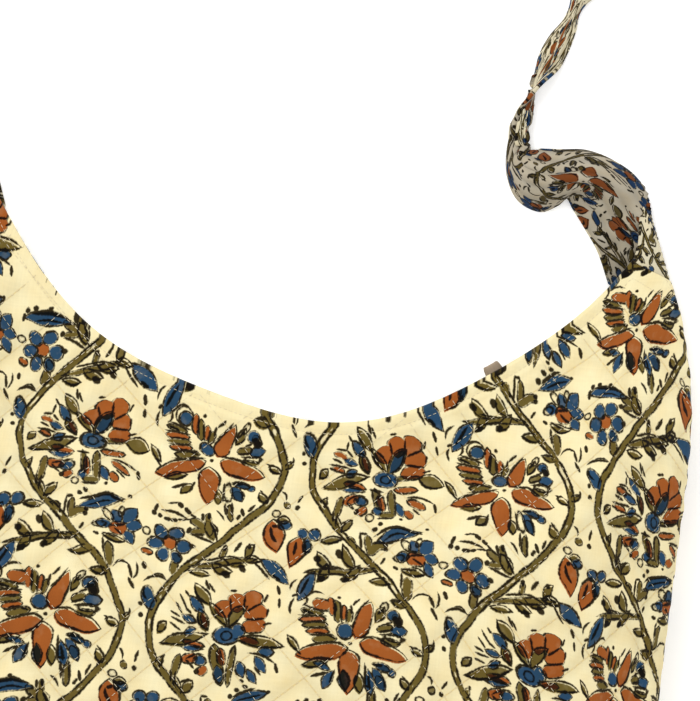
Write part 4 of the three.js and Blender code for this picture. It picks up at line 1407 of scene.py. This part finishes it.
def block_print(field):
    """Cloth under four dyes in one field. Each dye multiplies the cloth's colour where its marks lie."""
    tree, start, end = node_group(
        f"block_print_{field}",
        [("Cloth", "NodeSocketVector"), ("Ground", "NodeSocketColor")],
        [("Colour", "NodeSocketColor")],
    )
    cloth = start["Cloth"]
    px, py, vine = print_cell(tree, cloth)
    place = spread(tree, px), spread(tree, py)
    rough = noise(tree, cloth, *EDGE_GRAIN, "Fac")
    cloudy = noise(tree, cloth, *CLOUDS, "Fac")
    uneven = EDGE_ROUGHNESS / EDGE_SOFTNESS
    edge = number(tree, "MULTIPLY_ADD", rough, -uneven, 0.5 + 0.5 * uneven)
    worn = number(tree, "MULTIPLY_ADD", cloudy, *WEAR)
    worn = number(tree, "MAXIMUM", number(tree, "MINIMUM", worn, MOST_WEAR), LEAST_WEAR)
    chart = field_chart(field)

    def cover(distance):
        return number(tree, "MULTIPLY_ADD", distance, -1 / EDGE_SOFTNESS, edge, clamp=True)

    def closer(*distances):
        found = distances[0]
        for distance in distances[1:]:
            found = number(tree, "MINIMUM", found, distance)
        return found

    petals = [(chart["rust_leaves"], LENS), (chart["rust_petals"], FINGER)]
    leaves = [(chart["olive_leaves"], LENS)]
    petal = nearest(tree, place, petals)
    mark = nearest(tree, place, [(chart["rust_marks"], FINGER)])
    blue = nearest(tree, place, [(chart["blue_leaves"], LENS), (chart["blue_discs"], DISC)])
    leaf = nearest(tree, place, leaves)
    sprig = nearest(tree, place, [(chart["olive_marks"], FINGER)])
    lines = nearest(tree, place, [(chart["dark_lines"], FINGER), (chart["dark_dots"], DISC)])
    outlines = nearest(tree, place, petals + leaves, True, MISPRINT)
    rings = nearest(tree, place, [(chart["hollow"], DISC)], True)

    past_rims = [number(tree, "SUBTRACT", distance, RIM_OUT) for distance in (mark, blue, sprig)]
    rims = closer(*(number(tree, "ABSOLUTE", past) for past in past_rims))
    rims = number(tree, "SUBTRACT", rims, RIM_WIDTH / 2)
    outlines = number(tree, "SUBTRACT", outlines, OUTLINE_WIDTH / 2)
    rings = number(tree, "SUBTRACT", rings, RIM_WIDTH / 2)
    lines = number(tree, "SUBTRACT", lines, LINE_GAIN)
    stem = number(tree, "SUBTRACT", vine, VINE_HALF_WIDTH)
    stem_edges = number(tree, "SUBTRACT", number(tree, "ABSOLUTE", stem), VINE_EDGE)
    printed_well = closer(lines, rings)
    printed_worn = number(tree, "ADD", closer(rims, outlines, stem_edges), worn)
    dark = cover(closer(printed_well, printed_worn))

    rust, blue = cover(closer(petal, mark)), cover(blue)
    olive = cover(closer(leaf, sprig, stem))
    core = number(tree, "MULTIPLY_ADD", cloudy, *VINE_CORE)
    pale = cover(number(tree, "ADD", vine, core))
    olive = number(tree, "MULTIPLY", olive, number(tree, "MULTIPLY_ADD", pale, -CORE_LOSS, 1))
    olive = number(tree, "MULTIPLY", olive, number(tree, "MULTIPLY_ADD", blue, -BLUE_OVER_OLIVE, 1))
    body = number(tree, "MULTIPLY_ADD", cloudy, *DYE_BODY, clamp=True)
    stain = spread(tree, noise(tree, cloth, *STAINS, "Fac"))
    mottle = triple(tree, "MULTIPLY_ADD", stain, MOTTLE, [1 - share / 2 for share in MOTTLE])
    colour = triple(tree, "MULTIPLY", start["Ground"], mottle)
    for mask, tint in ((rust, RUST_TINT), (blue, BLUE_TINT), (olive, OLIVE_TINT), (dark, DARK_TINT)):
        amount = mask if mask is dark else number(tree, "MULTIPLY", mask, body)
        left = triple(tree, "MULTIPLY_ADD", spread(tree, amount), [t - 1 for t in tint], (1, 1, 1))
        colour = triple(tree, "MULTIPLY", colour, left)
    link(tree, end["Colour"], colour)
    print("print of field", field, "has", len(tree.nodes), "nodes")
    return tree


print_groups = [block_print(field) for field in FIELDS]

# %% [markdown]
# All the pieces are plain-woven cotton. Warp and weft cross every half millimetre, and no thread is
# quite even: thick places run along it as faint streaks both ways. One group makes the relief and the
# streaks for every cloth here.

# %% Weave group
WEAVE_REPEAT = 0.9
STREAK_LONG, STREAK_SHORT = 0.05, 1.1  # bumps per millimetre along a thread and across it
CROSSING_RELIEF = 0.25


def plain_weave():
    """Relief as the product of two sines, and streaks from two noises, each drawn out along a thread."""
    tree, start, end = node_group(
        "plain_weave",
        [("Cloth", "NodeSocketVector")],
        [("Height", "NodeSocketFloat"), ("Streaks", "NodeSocketFloat")],
    )
    cloth = start["Cloth"]
    turns = triple(tree, "SINE", triple(tree, "MULTIPLY", cloth, (2 * math.pi / WEAVE_REPEAT,) * 3))
    x, y, _ = parts(tree, turns)
    streaks = []
    for stretch in ((STREAK_LONG, STREAK_SHORT, 0), (STREAK_SHORT, STREAK_LONG, 0)):
        streaks.append(noise(tree, triple(tree, "MULTIPLY", cloth, stretch), 1, 2, "Fac"))
    total = number(tree, "ADD", *streaks)
    relief = number(tree, "MULTIPLY_ADD", number(tree, "MULTIPLY", x, y), CROSSING_RELIEF, total)
    link(tree, end["Height"], relief)
    link(tree, end["Streaks"], total)
    return tree


weave_group = plain_weave()
print("weave repeat", WEAVE_REPEAT, "mm")

# %% [markdown]
# A needle draws the cloth in, so a quilting line sits in a narrow groove, and the groove's shade is
# painted on as a faint darker line even between its stitches. The lines' numbers were kept on the mesh, so
# the painted shade falls exactly on them.

# %% Painted shade along the quilting lines
SEAM_REACH = 0.6
# the colour that a needle line's painted shade takes the cloth towards
SEAM_SHADE = (0.93, 0.83, 0.64)


def quilt_line_shade():
    """Painted shade of a needle's groove: white away from the lines, a warm shade on them, none in the
    hem.
    """
    tree, start, end = node_group(
        "quilt_line_shade", [("Seams", "NodeSocketVector")], [("Tint", "NodeSocketColor")]
    )
    rising, falling, puffed = parts(tree, start["Seams"])
    wrapped = [number(tree, "WRAP", phase, 0.5, -0.5) for phase in (rising, falling)]
    offs = [number(tree, "ABSOLUTE", phase) for phase in wrapped]
    off = number(tree, "MINIMUM", *offs)
    mask = number(tree, "MULTIPLY_ADD", off, -LINE_SPACING / SEAM_REACH, 1, clamp=True)
    mask = number(tree, "MULTIPLY", mask, number(tree, "SUBTRACT", 1, puffed))
    tint = triple(tree, "MULTIPLY_ADD", spread(tree, mask), [t - 1 for t in SEAM_SHADE], (1, 1, 1))
    link(tree, end["Tint"], tint)
    return tree


line_shade_group = quilt_line_shade()
print("tint reaches", SEAM_REACH, "mm from a line")

# %% [markdown]
# All the cloth here has one recipe: a matte base with hardly any gloss, the weave as a fine bump, streaks
# of thicker thread, and painted shade that darkens its grooves and folds. The pieces differ in ground
# colour and in whether they are printed and quilted, so one function makes every cotton.

# %% Cotton
WEAVE_BUMP = 0.25
WEAVE_DEPTH = 0.00012
COTTON_ROUGHNESS = 0.92
COTTON_SPECULAR = 0.12
COTTON_SHEEN = 0.05


def use_group(tree, group):
    """A group node of this group."""
    node = tree.nodes.new("ShaderNodeGroup")
    node.node_tree = group
    return node


def attribute(tree, name):
    """A kept value of the mesh as a vector."""
    node = tree.nodes.new("ShaderNodeAttribute")
    node.attribute_name = name
    return node.outputs["Vector"]


def cotton(name, ground, print_group=None, quilted=False, streak=0.08, crease_shade=0.1):
    """Woven cotton: ground, print and quilting where it has them, streaks, and painted shade in grooves.
    """
    material = bpy.data.materials.new(name)
    material.use_nodes = True
    tree = material.node_tree
    shader = tree.nodes["Principled BSDF"]
    cloth = attribute(tree, "cloth")
    weave = use_group(tree, weave_group)
    link(tree, weave.inputs["Cloth"], cloth)
    colour = ground
    if print_group is not None:
        dyed = use_group(tree, print_group)
        link(tree, dyed.inputs["Cloth"], cloth)
        dyed.inputs["Ground"].default_value = (*ground, 1)
        colour = dyed.outputs["Colour"]
    if quilted:
        # Quilted cloth gets painted shade along its needle lines.
        seams = use_group(tree, line_shade_group)
        link(tree, seams.inputs["Seams"], attribute(tree, "seams"))
        colour = triple(tree, "MULTIPLY", colour, seams.outputs["Tint"])
    shade = number(tree, "MULTIPLY_ADD", weave.outputs["Streaks"], streak, 1 - streak)
    # Painted shade: the colour darkens in quilting grooves, between pleats and at turned edges.
    groove_shade = number(tree, "MULTIPLY_ADD", parts(tree, cloth)[2], crease_shade, 1 - crease_shade)
    shade = spread(tree, number(tree, "MULTIPLY", shade, groove_shade))
    link(tree, shader.inputs["Base Color"], triple(tree, "MULTIPLY", colour, shade))
    shader.inputs["Roughness"].default_value = COTTON_ROUGHNESS
    shader.inputs["Specular IOR Level"].default_value = COTTON_SPECULAR
    shader.inputs["Sheen Weight"].default_value = COTTON_SHEEN
    bump = tree.nodes.new("ShaderNodeBump")
    bump.inputs["Strength"].default_value = WEAVE_BUMP
    bump.inputs["Distance"].default_value = WEAVE_DEPTH
    link(tree, bump.inputs["Height"], weave.outputs["Height"])
    link(tree, shader.inputs["Normal"], bump.outputs["Normal"])
    return material


print("cotton roughness", COTTON_ROUGHNESS)

# %% [markdown]
# Printed cloth needs one material for each field of the print, alike but for the print group. Each face
# takes the material of the field that its middle lies in, and the print runs on from field to field.

# %% Printed cloth
def printed(name, ground, quilted=False, crease_shade=0.1):
    """The same printed cotton for every field."""
    pairs = zip(FIELDS, print_groups)
    return [cotton(f"{name}_{field}", ground, group, quilted, crease_shade=crease_shade) for field, group in pairs]


def dress(piece, outer, inner):
    """Give a piece a material for each side, or for each field of a side, and each face its own."""
    mesh = piece.data
    for material in (*outer, *inner):
        mesh.materials.append(material)
    cloth = np.empty(3 * len(mesh.vertices), dtype=np.float32)
    mesh.attributes["cloth"].data.foreach_get("vector", cloth)
    corners = np.empty(len(mesh.loops), dtype=np.int32)
    mesh.loops.foreach_get("vertex_index", corners)
    side = np.empty(len(mesh.polygons), dtype=np.int32)
    mesh.polygons.foreach_get("material_index", side)
    middle = cloth.reshape(-1, 3)[corners.reshape(-1, 4)].mean(axis=1)
    field = field_of(middle[:, 0], middle[:, 1])
    outside = np.minimum(field, len(outer) - 1)
    inside = len(outer) + np.minimum(field, len(inner) - 1)
    index = np.where(side == 0, outside, inside)
    mesh.polygons.foreach_set("material_index", index.astype(np.int32))
    print(piece.name, "has", len(mesh.materials), "materials")


# %% [markdown]
# Thread and floor are plain, but a little noise makes the thread uneven along the seam and keeps the
# floor from looking like empty space. The floor glows faintly, as a light table does, because the photo
# shows hardly any shadow.

# %% Thread and floor
THREAD_COLOUR = (0.68, 0.6, 0.42)
FLOOR_GLOW = 0.35


def uneven_grey(name, bumps, change, least, roughness):
    """A material, its shader, and a grey that noise lifts from the least value by up to the change."""
    material = bpy.data.materials.new(name)
    material.use_nodes = True
    tree = material.node_tree
    shader = tree.nodes["Principled BSDF"]
    shader.inputs["Roughness"].default_value = roughness
    coordinate = tree.nodes.new("ShaderNodeTexCoord")
    uneven = noise(tree, coordinate.outputs["Object"], bumps, 2, "Fac")
    return material, shader, spread(tree, number(tree, "MULTIPLY_ADD", uneven, change, least))


def thread():
    """Off-white cotton thread, a little uneven along the seam."""
    name = "sewing_thread"
    material, shader, shade = uneven_grey(name, bumps=900, change=0.4, least=0.78, roughness=0.75)
    tree = material.node_tree
    link(tree, shader.inputs["Base Color"], triple(tree, "MULTIPLY", THREAD_COLOUR, shade))
    return material


def pale_floor():
    """A white studio surface with the faintest unevenness, lit from within."""
    name = "pale_floor"
    material, shader, shade = uneven_grey(name, bumps=3, change=0.02, least=0.88, roughness=0.95)
    for socket in ("Base Color", "Emission Color"):
        link(material.node_tree, shader.inputs[socket], shade)
    shader.inputs["Emission Strength"].default_value = FLOOR_GLOW
    return material


floor.data.materials.append(pale_floor())
sewing_thread = thread()
print("floor glows by", FLOOR_GLOW)

# %% [markdown]
# Each piece now gets its finishes, the outer side first. The panels are printed outside and have a plain
# pale backing inside, with painted shade along the quilting lines on both. The strap is printed on both
# sides; inside, the print lies on a greyer, darker ground, painted shade for its shaded inner face. The
# tab is plain, and its dark taupe is painted shade for where it lies under the front's edge.

# %% Dress the pieces
CREAM = (0.782, 0.68, 0.4)
STRAP_CREAM = (0.74, 0.66, 0.46)
# a greyer, darker ground for the strap's inside: painted shade for its shaded inner face
STRAP_SHADED_GREY = (0.42, 0.37, 0.28)
# the tab's dark taupe: painted shade for the cloth under the front's edge
SHADED_TAUPE = (0.33, 0.255, 0.18)
BACKING = (0.7, 0.655, 0.47)

panel_print = printed("panel_print", CREAM, quilted=True)
backing = [cotton("panel_backing", BACKING, quilted=True)]
shaded_taupe = [cotton("shaded_taupe_cotton", SHADED_TAUPE, streak=0.3, crease_shade=0.5)]
dress(front, panel_print, backing)
dress(back, panel_print, backing)
strap_outside = printed("strap_outside", STRAP_CREAM, crease_shade=0.25)
strap_inside_shaded = printed("strap_inside_shaded", STRAP_SHADED_GREY, crease_shade=0.25)
dress(strap_piece, strap_outside, strap_inside_shaded)
dress(tab_piece, shaded_taupe, shaded_taupe)
for piece in (front_thread, back_thread):
    piece.data.materials.append(sewing_thread)
print(len(bpy.data.materials), "materials")

# %% [markdown]
# Last, each piece is tied to the model: it rides on the bag's one body and stands for its CAD solid, which
# is hidden. A panel was cut a little larger than it lies, by what its curve and its seams take up.

for piece, node, slot in (
    (front, "front_panel", "quilted_print"),
    (back, "back_panel", "quilted_print"),
    (strap_piece, "strap", "printed_strip"),
    (tab_piece, "mouth_tab", "plain_tab"),
):
    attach(piece, "root")
    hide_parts(node)
for piece in (front_thread, back_thread):
    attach(piece, "root")
